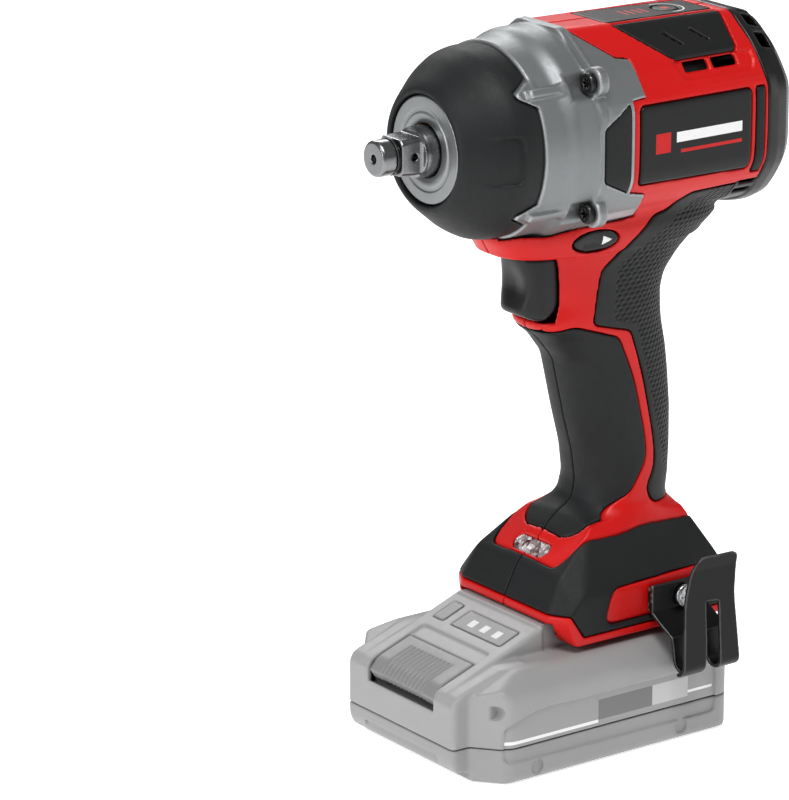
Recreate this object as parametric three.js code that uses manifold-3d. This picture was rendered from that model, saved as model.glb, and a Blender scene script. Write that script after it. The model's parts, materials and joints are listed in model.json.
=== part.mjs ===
// Cordless impact wrench with its battery pack. Millimetres, +Z up.
// The origin is the middle of the battery's base; the square drive points along -X.
import * as THREE from "three";
import { ConvexGeometry } from "three/addons/geometries/ConvexGeometry.js";
import { mergeVertices } from "three/addons/utils/BufferGeometryUtils.js";
import Module from "manifold-3d";

const wasm = await Module();
wasm.setup();

// ---- driving dimensions ----
const AXIS_Z = 217; // height of the drive axis
const GAP = 0.3; // clearance between pieces that touch
const WALL = 2.6; // thickness of the moulded housing
const PAD = 1.6; // thickness of the overmoulded pads
const PANEL = 1.2; // thickness of the plates let into the top
const SQUARE = 12.7; // half-inch square drive
const NOSE_X = -72.2; // tip of the square drive
const SHAFT_R = 9; // anvil shaft
const FLANGE_X = -4; // front face of the gearcase flange
const SIDE = { left: -1, right: 1 }; // left is the operator's left, at -Y

const MODULE = 1; // gear module of the planetary stage
const TEETH = { sun: 9, planet: 18, ring: 45 };
const GEAR_X = [5, 12]; // the planetary stage along the axis
const CARRIER_R = ((TEETH.sun + TEETH.planet) * MODULE) / 2;
const PLANETS = 3;

const LARGE = 24; // sides of a large round
const MEDIUM = 16;
const SMALL = 8;

const BATTERY = { front: -54, rear: 54, half: 42.7, seam: 12.6, shoulder: 38 };
const RAIL = { half: 26, top: 47.2, front: -17, head: -9.5, rear: 51.5 };

// ---- colours ----
const RED = { color: 0xc41e1c, roughness: 0.45, metalness: 0 };
const BLACK = { color: 0x2d2f30, roughness: 0.7, metalness: 0 };
const DARK = { color: 0x26282a, roughness: 0.5, metalness: 0 };
const CAST = { color: 0xa4a8aa, roughness: 0.45, metalness: 0.7 };
const STEEL = { color: 0xb8babc, roughness: 0.25, metalness: 1 };
const COPPER = { color: 0xb06a3a, roughness: 0.35, metalness: 1 };
const BRONZE = { color: 0x9a7b4a, roughness: 0.4, metalness: 1 };
const LIGHT_GREY = { color: 0xb4b4b4, roughness: 0.5, metalness: 0 };
const MID_GREY = { color: 0x8e8e8e, roughness: 0.5, metalness: 0 };
const BOARD = { color: 0x1f5a33, roughness: 0.6, metalness: 0 };
const KEY_RED = { color: 0xb02a30, roughness: 0.5, metalness: 0 };
const SLEEVE = { color: 0x3d6ea8, roughness: 0.5, metalness: 0 };
const CLEAR = { color: 0xe8e8ea, roughness: 0.1, metalness: 0 };

const tool = new THREE.Group();

// ---- turning geometry into solids ----
function solid(geometry) {
  const bare = geometry.index ? geometry.toNonIndexed() : geometry.clone();
  bare.deleteAttribute("normal");
  bare.deleteAttribute("uv");
  const merged = mergeVertices(bare, 1e-4);
  const place = merged.attributes.position;
  const corner = [new THREE.Vector3(), new THREE.Vector3(), new THREE.Vector3()];
  const faces = [];
  let volume = 0;
  for (let i = 0; i < merged.index.count; i += 3) {
    const face = [0, 1, 2].map((k) => merged.index.getX(i + k));
    if (new Set(face).size < 3) continue;
    face.forEach((vertex, k) => corner[k].fromBufferAttribute(place, vertex));
    volume += corner[0].dot(corner[1].clone().cross(corner[2]));
    faces.push(face);
  }
  const triVerts = new Uint32Array(faces.flatMap((f) => (volume < 0 ? [f[0], f[2], f[1]] : f)));
  const vertProperties = new Float32Array(place.array);
  return new wasm.Manifold(new wasm.Mesh({ numProp: 3, vertProperties, triVerts }));
}

function join(pieces) {
  return pieces.reduce((whole, piece) => whole.add(piece));
}

function cut(piece, tools) {
  return tools.reduce((rest, cutter) => rest.subtract(cutter), piece);
}

function node(name, piece, finish) {
  const mesh = piece.getMesh();
  const geometry = new THREE.BufferGeometry();
  geometry.setAttribute("position", new THREE.BufferAttribute(mesh.vertProperties, 3));
  geometry.setIndex(new THREE.BufferAttribute(mesh.triVerts, 1));
  geometry.computeVertexNormals();
  const part = new THREE.Mesh(geometry, new THREE.MeshStandardMaterial(finish));
  part.name = name;
  tool.add(part);
}

// ---- basic shapes ----
// An outline with rounded corners: each point is [a, b] or [a, b, radius].
function outline(points) {
  const corners = points.map(([a, b, r = 0]) => ({ at: new THREE.Vector2(a, b), r }));
  const shape = new THREE.Shape();
  corners.forEach(({ at, r }, i) => {
    const before = corners[(i + corners.length - 1) % corners.length].at;
    const after = corners[(i + 1) % corners.length].at;
    const round = Math.min(r, 0.45 * at.distanceTo(before), 0.45 * at.distanceTo(after));
    const start = at.clone().add(before.clone().sub(at).setLength(round));
    const end = at.clone().add(after.clone().sub(at).setLength(round));
    if (i === 0) shape.moveTo(start.x, start.y);
    else shape.lineTo(start.x, start.y);
    if (r > 0) shape.quadraticCurveTo(at.x, at.y, end.x, end.y);
  });
  shape.closePath();
  return shape;
}

function extruded(shape, depth, curveSegments = 2) {
  return new THREE.ExtrudeGeometry(shape, { depth, bevelEnabled: false, curveSegments });
}

// Outline in X and Z, thickness from y0 to y1.
function alongY(shape, y0, y1, segments) {
  return solid(extruded(shape, y1 - y0, segments).rotateX(Math.PI / 2).translate(0, y1, 0));
}

// Outline in Y and Z, from x0 to x1.
function alongX(shape, x0, x1, segments) {
  const turn = new THREE.Matrix4().set(0, 0, 1, x0, 1, 0, 0, 0, 0, 1, 0, 0, 0, 0, 0, 1);
  return solid(extruded(shape, x1 - x0, segments).applyMatrix4(turn));
}

// Outline in X and Y, from z0 to z1.
function alongZ(shape, z0, z1, segments) {
  return solid(extruded(shape, z1 - z0, segments).translate(0, 0, z0));
}

function box(x0, x1, y0, y1, z0, z1) {
  const block = new THREE.BoxGeometry(x1 - x0, y1 - y0, z1 - z0);
  return solid(block.translate((x0 + x1) / 2, (y0 + y1) / 2, (z0 + z1) / 2));
}

// A closed profile of [x, radius] pairs turned about an axis along X.
function turned(profile, sides = LARGE, y = 0, z = AXIS_Z) {
  const points = profile.map(([x, r]) => new THREE.Vector2(r, x));
  points.push(points[0].clone());
  const lie = new THREE.Matrix4().set(0, 1, 0, 0, 0, 0, 1, y, 1, 0, 0, z, 0, 0, 0, 1);
  return solid(new THREE.LatheGeometry(points, sides).applyMatrix4(lie));
}

function rod(x0, x1, r, sides, y, z) {
  return turned([[x0, 0], [x0, r], [x1, r], [x1, 0]], sides, y, z);
}

function tube(x0, x1, inner, outer, sides) {
  return turned([[x0, inner], [x0, outer], [x1, outer], [x1, inner]], sides);
}

function rodAlongY(x, z, y0, y1, r, sides = SMALL) {
  const cylinder = new THREE.CylinderGeometry(r, r, y1 - y0, sides);
  return solid(cylinder.translate(x, (y0 + y1) / 2, z));
}

// A solid skinned over rings of points that all have the same count.
function loft(rings) {
  const count = rings[0].length;
  const vertices = rings.flat();
  const faces = [];
  for (let i = 0; i < rings.length - 1; i++) {
    for (let k = 0; k < count; k++) {
      const a = i * count + k;
      const b = i * count + ((k + 1) % count);
      faces.push(a, b, b + count, a, b + count, a + count);
    }
  }
  for (const [start, flip] of [[0, true], [(rings.length - 1) * count, false]]) {
    for (let k = 1; k < count - 1; k++) {
      const face = [start, start + k, start + k + 1];
      faces.push(...(flip ? face.reverse() : face));
    }
  }
  const geometry = new THREE.BufferGeometry().setFromPoints(vertices);
  geometry.setIndex(faces);
  return solid(geometry);
}

// The same piece turned by an angle about the drive axis.
function spun(piece, angle) {
  const about = new THREE.Matrix4()
    .makeTranslation(0, 0, AXIS_Z)
    .multiply(new THREE.Matrix4().makeRotationX(angle))
    .multiply(new THREE.Matrix4().makeTranslation(0, 0, -AXIS_Z));
  return piece.transform(about.elements);
}

function mirrored(piece, side) {
  return side === SIDE.left ? piece : piece.scale([1, -1, 1]);
}

// ---- outer form of the tool ----
// Half outline of the motor barrel: [y, height over the axis] from the top down.
const BARREL = [
  [11, 37], [27.5, 24.5], [31.5, 19], [35.4, 13], [36, 0],
  [35.4, -13], [31, -21], [23, -29], [10, -33.5],
];
const BARREL_X = [0.3, 70];
const REAR_DROP = 1.8; // the flat top is this much lower at the rear

function barrelPoints(inset) {
  const half = BARREL.map(([y, z]) => new THREE.Vector2(y, z));
  const other = half.map((p) => new THREE.Vector2(-p.x, p.y)).reverse();
  return offset([...half, ...other], inset);
}

// Each edge of a closed line moved to its right by a distance.
function offset(around, by) {
  const lines = around.map((p, i) => {
    const along = around[(i + 1) % around.length].clone().sub(p).normalize();
    const right = new THREE.Vector2(along.y, -along.x);
    return { at: p.clone().addScaledVector(right, by), along };
  });
  return lines.map(({ at, along }, i) => {
    const last = lines[(i + lines.length - 1) % lines.length];
    const step = at.clone().sub(last.at).cross(along) / last.along.cross(along);
    return last.at.clone().addScaledVector(last.along, step);
  });
}

function barrel(inset, x0, x1) {
  const rings = [x0, x1].map((x) => {
    const drop = (REAR_DROP * Math.max(0, x - BARREL_X[0])) / (BARREL_X[1] - BARREL_X[0]);
    return barrelPoints(inset).map((p) => {
      const lowered = p.y > 30 - inset ? p.y - drop : p.y;
      return new THREE.Vector3(x, p.x, AXIS_Z + lowered);
    });
  });
  return loft(rings);
}

// Level sections of the neck and handle: height, front, widest place, back, half width, and
// how square the front and the back are.
const HANDLE = [
  [192, -26, 28, 69.5, 24, 2.8, 2.6], [183, -27.3, 28, 69.5, 24.8, 2.8, 2.6],
  [176.6, -23.2, 26, 62.4, 22.2, 2.8, 2.4], [175.8, -6.5, 24, 61.2, 21.4, 2.8, 2.4],
  [170, -5.5, 24, 54, 19.8, 2.8, 2.4], [163, -5.5, 23, 47.6, 18.9, 2.8, 2.4],
  [157, -5.6, 23, 45.8, 18.6, 2.8, 2.4], [150.5, -8, 22, 46.4, 18.2, 2.8, 2.4],
  [148, -8.5, 22, 46.7, 18, 2.6, 2.4], [144.5, -3.3, 23, 47.1, 17.8, 2.4, 2.4],
  [135, 4.4, 25, 49.2, 17.6, 2.4, 2.4], [126.6, 6.4, 27, 50.2, 17.5, 2.4, 2.4],
  [113, 9.6, 30, 51.2, 17.4, 2.4, 2.4], [99.6, 13.4, 32, 51, 17.3, 2.4, 2.4],
  [88.5, 15, 32, 50.5, 17.2, 2.4, 2.4], [81.5, 13.2, 31, 49.3, 17.6, 2.4, 2.4],
  [75, 5, 28, 51, 18.5, 2.4, 2.4], [62, -6, 26, 53, 22, 2.4, 2.4],
];
const HANDLE_SIDES = 16;

function handleRing([z, front, widest, back, half, frontPower, backPower], inset) {
  const ring = [];
  for (let k = 0; k < HANDLE_SIDES; k++) {
    const turn = (2 * Math.PI * k) / HANDLE_SIDES;
    const c = Math.cos(turn);
    const s = Math.sin(turn);
    const reach = c > 0 ? back - inset - widest : widest - front - inset;
    const power = c > 0 ? backPower : frontPower;
    const x = widest + Math.sign(c) * reach * Math.abs(c) ** (2 / power);
    const y = Math.sign(s) * (half - inset) * Math.abs(s) ** (2 / power);
    ring.push(new THREE.Vector3(x, y, z));
  }
  return ring;
}

function handle(inset) {
  return loft(HANDLE.map((section) => handleRing(section, inset)));
}

// Corners of the foot, one side: x, half width, z.
const FOOT = [
  [-16.5, 25, 47.6], [-16.3, 25, 50.5], [-10, 23.5, 62.7], [-4.5, 10, 67], [8, 18, 76.5],
  [49.5, 17.5, 77], [55, 29, 62.5], [58, 32, 56], [-12, 32.5, 50], [-9.5, 33.5, 40],
  [58, 33.5, 40], [-5, 32, 57],
];

function foot(inset) {
  const middle = new THREE.Vector3(22, 0, 58);
  const points = FOOT.flatMap(([x, y, z]) => [SIDE.left, SIDE.right].map((side) => {
    const inward = new THREE.Vector3(
      Math.sign(middle.x - x) * inset, -side * inset, z > middle.z ? -inset : 0);
    return new THREE.Vector3(x, side * y, z).add(inward);
  }));
  return solid(new ConvexGeometry(points));
}

function body(inset) {
  return join([barrel(inset, BARREL_X[0], BARREL_X[1]), handle(inset), foot(inset)]);
}

const OUTER = body(0);
const UNDER_PAD = body(PAD + GAP);
const PAD_BACK = body(PAD);
const INNER = body(WALL);
const REACH = 80; // further than any side of the tool

// The half of space on one side of the seam.
function halfSpace(side) {
  const seam = GAP / 2;
  return side === SIDE.left
    ? box(-REACH * 2, REACH * 2, -REACH, -seam, -10, 300)
    : box(-REACH * 2, REACH * 2, seam, REACH, -10, 300);
}

// ---- outlines of the pads, seen from the side: x, z ----
const REAR_GRIP = [
  [60, 195], [41.5, 194.6, 2], [34, 188.3, 3], [29, 187.5, 2], [11, 169.5, 2.4],
  [8.8, 149.5, 2.4], [25, 145.2, 2.4], [31, 128.5, 4], [36.5, 104, 4], [37.5, 94, 3],
  [33.5, 86, 3], [36, 80, 3], [60, 80], [75, 160], [75, 183], [60, 183],
];
const FRONT_GRIP = [
  [-14, 146.8], [-3.5, 147.5, 3], [2, 149.6, 3], [20, 143.5, 2.4], [27.3, 127, 4], [32.8, 104, 4],
  [33.2, 96.5, 3], [26, 87, 4], [16, 81.5, 4], [6, 74.6, 3], [0, 71.4, 2], [-14, 71.4],
];
const COVER_SIDE = [[-18, 51], [-18, 82], [60, 82], [60, 43], [-6, 43], [-11, 51]];
const CLIP_RECESS = [[3.2, 45.2, 5], [7.5, 57.5, 4], [60, 59.2], [60, 45.2]];
const TOP_OF_FOOT = [ // the red top and its tongue round the lamp, from above: x, y
  [-7.4, -17.6, 3], [-7.4, 17.6, 3], [-3.4, 19.4, 2], [18, 21, 4], [62, 19.4], [62, -19.4],
  [18, -21, 4], [-3.4, -19.4, 2],
];
const SIDE_LABEL = [[13.6, 229.5, 2], [62.6, 229.5, 2], [62.6, 201, 2], [13.6, 202, 2]];
const SIDE_STRIP = [[64.6, 229.5, 1], [68.6, 229.5], [68.6, 199], [64.6, 199, 1]];
const INSERT = [[-1.9, 224, 1], [9.2, 231, 0.5], [9.2, 200.2, 0.5], [-1.9, 205.5, 1]];
const TOP_PANEL = [[18, 10], [66, 9], [66, -9], [18, -10]]; // seen from above: x, y
const VENT_PANEL = [[18.4, 11.5, 2], [66, 11.5, 2], [62.5, 26.6, 2], [34, 26.6, 3]];
const MODE_BUTTON = { x: 52, r: 4.5, sides: 24 };
const VENT_HOLES = [[38, 48.5], [50.5, 61]]; // along x, behind the vent panels
const VENT_SLITS = [[38, 41], [50, 53]]; // upper and lower end along x
const CAST_EDGE = [
  [-1, 260], [-1, 254], [11.6, 244.4], [16.4, 243.6], [16.8, 232.2], [10.8, 231.8],
  [10.8, 199.6], [18, 198], [20, 188.6], [2, 185.6], [-1, 176], [-40, 176], [-40, 260],
];

// The outline with each edge moved outwards.
function grown(points, by) {
  const corners = points.map(([a, b]) => new THREE.Vector2(a, b));
  const outward = THREE.ShapeUtils.area(corners) > 0 ? by : -by;
  const moved = offset(corners, outward);
  return moved.map((p, i) => [p.x, p.y, points[i][2]]);
}

function pad(points, side) {
  const layer = cut(OUTER, [PAD_BACK]);
  const whole = layer.intersect(alongY(outline(points), -REACH, REACH)).intersect(halfSpace(side));
  return side === SIDE.right ? cut(whole, screwRooms()) : whole;
}

function padSeat(points) {
  const layer = cut(body(-1), [UNDER_PAD]);
  return layer.intersect(alongY(outline(grown(points, GAP)), -REACH, REACH));
}

function panel(points, under) {
  const layer = cut(OUTER, [body(under)]);
  return layer.intersect(alongZ(outline(points), AXIS_Z + 15, AXIS_Z + 60));
}

const flip = (points) => points.map(([a, b, r]) => [a, -b, r]);

// ---- housing halves ----
const TRIGGER = { half: 11, top: 175, bottom: 151.2, back: -0.5, travel: 6 };
const SELECTOR = { x: 5.2, z: 181.4, half: 8.8, high: 3.8, reach: 23.6, travel: 2.5 };
const SCREW_SPOTS = [[22, 184], [24, 134], [28, 104], [43, 69.3]]; // x, z
const SCREW_HEAD_Y = 13; // the heads are sunk in the right half
const BOSS_R = 4.6;

function oval(x, z, half, high) {
  const shape = new THREE.Shape();
  shape.absellipse(x, z, half, high, 0, 2 * Math.PI, false, 0);
  return shape;
}

function triggerPocket() {
  const { half, top, bottom, back, travel } = TRIGGER;
  return box(-30, back + travel + 1.5, -half - 0.7, half + 0.7, bottom - 0.7, top + 0.7);
}

function batterySlot() {
  const stem = RAIL.half - 3;
  const section = [
    [-RAIL.half - 0.5, RAIL.top + 0.6], [RAIL.half + 0.5, RAIL.top + 0.6],
    [RAIL.half + 0.5, 43.1], [stem + 0.5, 43.1], [stem + 0.5, 30], [-stem - 0.5, 30],
    [-stem - 0.5, 43.1], [-RAIL.half - 0.5, 43.1],
  ];
  return alongX(outline(section), -40, RAIL.rear + 0.6);
}

// The hollow inside: the motor bay, the handle and the electronics bay over the battery.
function hollow() {
  const bay = intersectAll([INNER, box(-40, 100, -REACH, REACH, 50.5, 300)]);
  const motor = turned([[-60, 0], [-60, 31], [76, 31], [76, 0]], 32);
  return join([bay, motor.intersect(INNER)]);
}

function intersectAll(pieces) {
  return pieces.reduce((common, piece) => common.intersect(piece));
}

function housing(name, side) {
  const castRoom = alongY(outline(grown(CAST_EDGE, GAP)), -REACH, REACH);
  const mechanism = join([
    castBody(GAP), castRoom.intersect(cut(barrel(-3, -10, 40), [barrel(2.4 + GAP, -11, 41)])),
    barrel(-0.8 - GAP, FLANGE_X - GAP, BARREL_X[0] + 0.02), rod(-60, -22, 34.2 + GAP),
    ...SCREWS.map(([y, z]) => rod(-8, BARREL_X[0], 5.2 + GAP, 12, y, AXIS_Z + z)),
  ]);
  let shell = cut(OUTER, [hollow(), mechanism, triggerPocket(), batterySlot()]);
  for (const points of [REAR_GRIP, FRONT_GRIP, SIDE_LABEL, SIDE_STRIP]) {
    shell = shell.subtract(padSeat(points));
  }
  shell = cut(shell, [coverSeat(), clipSeat(), lampSeat(), selectorSlot()]);
  const skirtRoom = cut(barrel(-1, 60, 71), [barrel(PAD + GAP, 59, 72)])
    .intersect(alongY(outline(grown(SKIRT, GAP)), -REACH, REACH));
  const seats = [TOP_PANEL, VENT_PANEL, flip(VENT_PANEL)].map((points) =>
    cut(body(-1), [body(PANEL + GAP)]).intersect(
      alongZ(outline(grown(points, GAP)), AXIS_Z + 15, AXIS_Z + 60)));
  const holes = VENT_HOLES.flatMap(([x0, x1]) =>
    [SIDE.left, SIDE.right].map((s) => mirrored(box(x0, x1, -33.5, -28, 236.7, 239.8), s)));
  shell = cut(shell, [...seats, ...holes, skirtRoom]);
  shell = cut(join([shell, screwBosses()]), screwRooms());
  shell = shell.intersect(halfSpace(side));
  node(name, shell, RED);
}

function screwBosses() {
  const posts = SCREW_SPOTS.map(([x, z]) => rodAlongY(x, z, -REACH, REACH, BOSS_R));
  return join(posts).intersect(body(PAD + 2 * GAP));
}

function screwRooms() {
  return SCREW_SPOTS.flatMap(([x, z]) => [
    rodAlongY(x, z, -10, REACH, 1.9),
    rodAlongY(x, z, SCREW_HEAD_Y - 3.3, REACH, 3.4),
  ]);
}

function coverLayer(from, to) {
  const band = cut(foot(from), [foot(to)]);
  return cut(band, [handle(-1.2)]);
}

function coverSeat() {
  const layer = coverLayer(-1, PAD + GAP);
  const side = layer.intersect(alongY(outline(grown(COVER_SIDE, GAP)), -REACH, REACH));
  const top = alongZ(outline(TOP_OF_FOOT), 52, 90);
  return cut(side, [top, clipPad(0)]);
}

function clipPad(by) {
  return alongY(outline(grown(CLIP_RECESS, by)), -REACH, -25);
}

function clipSeat() {
  return alongY(outline(CLIP_RECESS), -REACH, -32);
}

function footCover(name, side) {
  const layer = coverLayer(0, PAD);
  const face = layer.intersect(alongY(outline(COVER_SIDE), -REACH, REACH));
  const top = alongZ(outline(grown(TOP_OF_FOOT, GAP)), 50, 90);
  const piece = cut(face, [top, clipPad(GAP), clipPad(GAP).scale([1, -1, 1])]);
  node(name, piece.intersect(halfSpace(side)), BLACK);
}

// The lamp sits in the sloping tongue in front of the handle.
const LAMP = [
  [-6.3, -7.4, 1], [-6.3, 7.4, 1], [-3.8, 9.6, 1], [-1.4, 8, 1], [-1.4, -8, 1], [-3.8, -9.6, 1],
];

function lampSeat() {
  return alongZ(outline(grown(LAMP, GAP)), 58, 90);
}

function lamp() {
  node("led_lens", foot(0).intersect(alongZ(outline(LAMP), 59.5, 90)), CLEAR);
}

function selectorSlot() {
  const { x, z, half, high, reach, travel } = SELECTOR;
  const recess = alongY(oval(x, z, half + GAP, high + GAP), -REACH, REACH, SMALL);
  const core = box(-30, 60, -reach + travel + 3.4, reach - travel - 3.4, 150, 200);
  const bar = box(x - 5.3, x + 5.3, -REACH, REACH, z - 3.3, z + 0.4);
  return join([cut(recess, [core]), bar]);
}

function selector() {
  const { x, z, half, high, reach, travel } = SELECTOR;
  const bar = box(x - 5, x + 5, -reach + 1, reach - 1, z - 3, z + 0.1);
  const ends = [SIDE.left, SIDE.right].map((side) =>
    mirrored(alongY(oval(x, z, half, high), -reach, -reach + 1.8, SMALL), side));
  node("direction_selector", join([bar, ...ends]), DARK);
}

// ---- pads, labels and panels ----
function pads() {
  for (const [word, side] of Object.entries(SIDE)) {
    node(`rear_grip_${word}`, pad(REAR_GRIP, side), BLACK);
    node(`front_grip_${word}`, cut(pad(FRONT_GRIP, side), [foot(-GAP)]), BLACK);
    node(`side_label_${word}`, pad(SIDE_LABEL, side), DARK);
    node(`side_strip_${word}`, pad(SIDE_STRIP, side), BLACK);
    footCover(`foot_cover_${word}`, side);
    const vent = panel(side === SIDE.left ? flip(VENT_PANEL) : VENT_PANEL, PANEL);
    const slots = VENT_SLITS.map(([x0, x1]) => {
      const slit = outline([[x0, -17], [x1, -22], [x1 + 1, -22], [x0 + 1, -17]]);
      return mirrored(alongZ(slit, 200, 300), side);
    });
    node(`vent_panel_${word}`, cut(vent, slots), DARK);
  }
  node("top_panel", cut(panel(TOP_PANEL, PANEL), [modeDisc(GAP)]), DARK);
}

function modeDisc(grow) {
  const { x, r, sides } = MODE_BUTTON;
  const disc = new THREE.CylinderGeometry(r + grow, r + grow, 60, sides).rotateX(Math.PI / 2);
  return solid(disc.translate(x, 0, AXIS_Z + 50));
}

function modeButton() {
  const cap = cut(OUTER, [body(0.7)]).intersect(modeDisc(0));
  node("mode_button", cap, KEY_RED);
}

// ---- rear cap ----
const CAP_WINDOWS = [-42, -26, 26, 42]; // degrees from the top
const LOUVRES = [119, 127, 135]; // on each side, low on the cap
const CAP = [ // x, then the share of the barrel's width and top, then of its lower part
  [70.3, 1, 1.03], [75, 0.985, 1.05], [80, 0.94, 1.03], [84.5, 0.83, 0.94], [87.2, 0.66, 0.76],
];

// The cap reaches forward under the barrel, low on each side.
const SKIRT = [[61, 195.5], [61, 183], [73, 183], [73, 195.5]];

function capSkirt(side) {
  return mirrored(alongY(outline(SKIRT), -REACH, -8), side);
}

function capLoft(inset, shift = 0) {
  const ring = ([x, share, low]) => barrelPoints(inset).map((p) => {
    const high = p.y > 30 - inset ? p.y - REAR_DROP : p.y;
    return new THREE.Vector3(x - shift, p.x * share, AXIS_Z + high * (high < 0 ? low : share));
  });
  return loft(CAP.map(ring));
}

function rearCap() {
  const room = capLoft(WALL, 3).intersect(box(60, 84.6, -REACH, REACH, 100, 300));
  const shell = cut(capLoft(0), [room]);
  const windows = [];
  for (const angle of CAP_WINDOWS) {
    const slot = box(74.5, 80.5, -3.2, 3.2, AXIS_Z + 22, AXIS_Z + 45);
    windows.push(spun(slot, THREE.MathUtils.degToRad(angle)));
  }
  const louvre = box(62.5, 69.5, -1.3, 1.3, AXIS_Z + 22, AXIS_Z + 45);
  for (const angle of LOUVRES.flatMap((a) => [a, -a])) {
    windows.push(spun(louvre, THREE.MathUtils.degToRad(angle)));
  }
  const skirt = cut(barrel(0, 60, 71.5), [barrel(PAD, 59, 72)])
    .intersect(join([SIDE.left, SIDE.right].map(capSkirt)));
  const seat = tube(77.5, 85.5, 9.4, 12, MEDIUM);
  const spokes = [45, 135, 225, 315].map((angle) =>
    spun(box(82, 85.5, -2, 2, AXIS_Z + 10.5, AXIS_Z + 24), THREE.MathUtils.degToRad(angle)));
  node("rear_cap", join([cut(join([shell, skirt]), windows), seat, ...spokes]), BLACK);
}

// ---- gearcase, boot and nose ----
const SCREWS = [[30.6, 22.6], [30.6, -22.6], [-30.6, 22.6], [-30.6, -22.6]]; // y, height over the axis
const SCREW_HEAD = { r: 3.5, high: 2.2 };
const BOOT_END = -25.8;
const NOTCH = [ // where a rib reaches into the boot: x and height over the axis
  [-32.5, 20.2], [-32.5, 21.6], [-26.5, 24.5], [-24, 24.6], [-24, 16.8], [-25.8, 16.8],
];
const RIB_ANGLES = [53, -53, 127, -127]; // from the top, in line with the screws

function castBody(grow) {
  const outer = [
    [-50.2, 18.2], [-46.5, 20], [-37, 29.4], [-31, 31.4], [BOOT_END + GAP, 31.6],
    [BOOT_END + GAP, 34.2], [-17, 34.8], [-13.5, 37], [FLANGE_X + 0.1, 37],
  ].map(([x, r]) => [x, r + grow]);
  return turned([[-50.2 - grow, 0], ...outer, [FLANGE_X + 0.1, 0]], LARGE);
}

function gearcase() {
  const reliefs = SCREWS.map(([y, z]) => rod(-12, FLANGE_X, SCREW_HEAD.r + 0.8, 12, y, AXIS_Z + z));
  const flange = join([
    barrel(-0.8, FLANGE_X, 0),
    ...SCREWS.map(([y, z]) => rod(FLANGE_X, 0, 5.2, 12, y, AXIS_Z + z)),
  ]);
  const wings = cut(barrel(-0.8, -1, 24), [barrel(2.4, -2, 25)])
    .intersect(alongY(outline(CAST_EDGE), -REACH, REACH));
  const rib = box(-28, FLANGE_X + 0.2, -1.6, 1.6, AXIS_Z + 30, AXIS_Z + 36.6);
  const ribs = RIB_ANGLES.map((angle) => spun(rib, THREE.MathUtils.degToRad(angle)));
  const bore = turned([
    [-60, 0], [-60, 13.3], [-38.2, 13.3], [-38.2, 21], [-34, 25.8], [-30, 27.6], [4, 27.6], [4, 0],
  ]);
  const feet = notches(0).map((n) => n.intersect(rod(-33, -22, 34.2, LARGE, 0, AXIS_Z)));
  const trunk = cut(join([castBody(0), ...feet, ...ribs]), reliefs);
  const shell = cut(join([trunk, flange, wings]), [
    bore,
    ...SCREWS.map(([y, z]) => rod(-8, -1.2, 2.5, 8, y, AXIS_Z + z)),
    ...[SIDE.left, SIDE.right].map((s) => insertSeat(s)),
  ]);
  node("gearcase", cut(shell, [cut(bootShape(GAP), notches(0))]), CAST);
}

function notches(grow) {
  return [1, -1].map((up) => {
    const corners = NOTCH.map(([x, high]) => [x, AXIS_Z + up * high]);
    return alongY(outline(grown(corners, grow)), -REACH, REACH);
  });
}

function insertSeat(side) {
  const layer = cut(barrel(-2, -3, 20), [barrel(0.9, -4, 21)]);
  return mirrored(layer.intersect(alongY(outline(grown(INSERT, GAP)), -REACH, 0)), side);
}

function inserts() {
  for (const [word, side] of Object.entries(SIDE)) {
    const layer = cut(barrel(-0.8, -3, 20), [barrel(0.6, -4, 21)]);
    const piece = layer.intersect(alongY(outline(INSERT), -REACH, 0));
    node(`flange_insert_${word}`, mirrored(piece, side), BLACK);
  }
}

const BOOT = [
  [-51.6, 19.2], [-51.6, 21], [-49.5, 23.2], [-41, 30], [-36, 32.6], [-32, 33.4], [BOOT_END, 33.4],
  [BOOT_END, 31.9], [-31, 31.7], [-37, 29.7], [-46.5, 20.3], [-49.5, 19.2],
];

function bootShape(grow) {
  return turned(BOOT.map(([x, r], i) => [x, i < 7 ? r + grow : r - grow]), LARGE);
}

function boot() {
  node("nose_boot", cut(bootShape(0), notches(GAP)), BLACK);
}

function frontPlate() {
  const steps = [
    [-50.9, 9.6], [-50.9, 12.6], [-50.4, 13.2], [-50.4, 14], [-50.9, 14.6], [-50.9, 18.3],
    [-50.5, 18.7], [-50.5, 9.6],
  ];
  node("front_plate", turned(steps), STEEL);
}

function bushing() {
  node("anvil_bushing", tube(-50, -38.5, SHAFT_R + GAP, 13, LARGE), BRONZE);
}

function gearcaseScrews() {
  SCREWS.forEach(([y, z], i) => {
    const shank = rod(FLANGE_X - 0.4, -1.6, 2, 8, y, AXIS_Z + z);
    const front = FLANGE_X - GAP - SCREW_HEAD.high;
    const head = rod(front, FLANGE_X - GAP, SCREW_HEAD.r, 12, y, AXIS_Z + z);
    const socket = rod(front - 2, front + 1.2, 1.7, 6, y, AXIS_Z + z);
    node(`gearcase_screw_${i + 1}`, cut(join([shank, head]), [socket]), DARK);
  });
}

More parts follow.
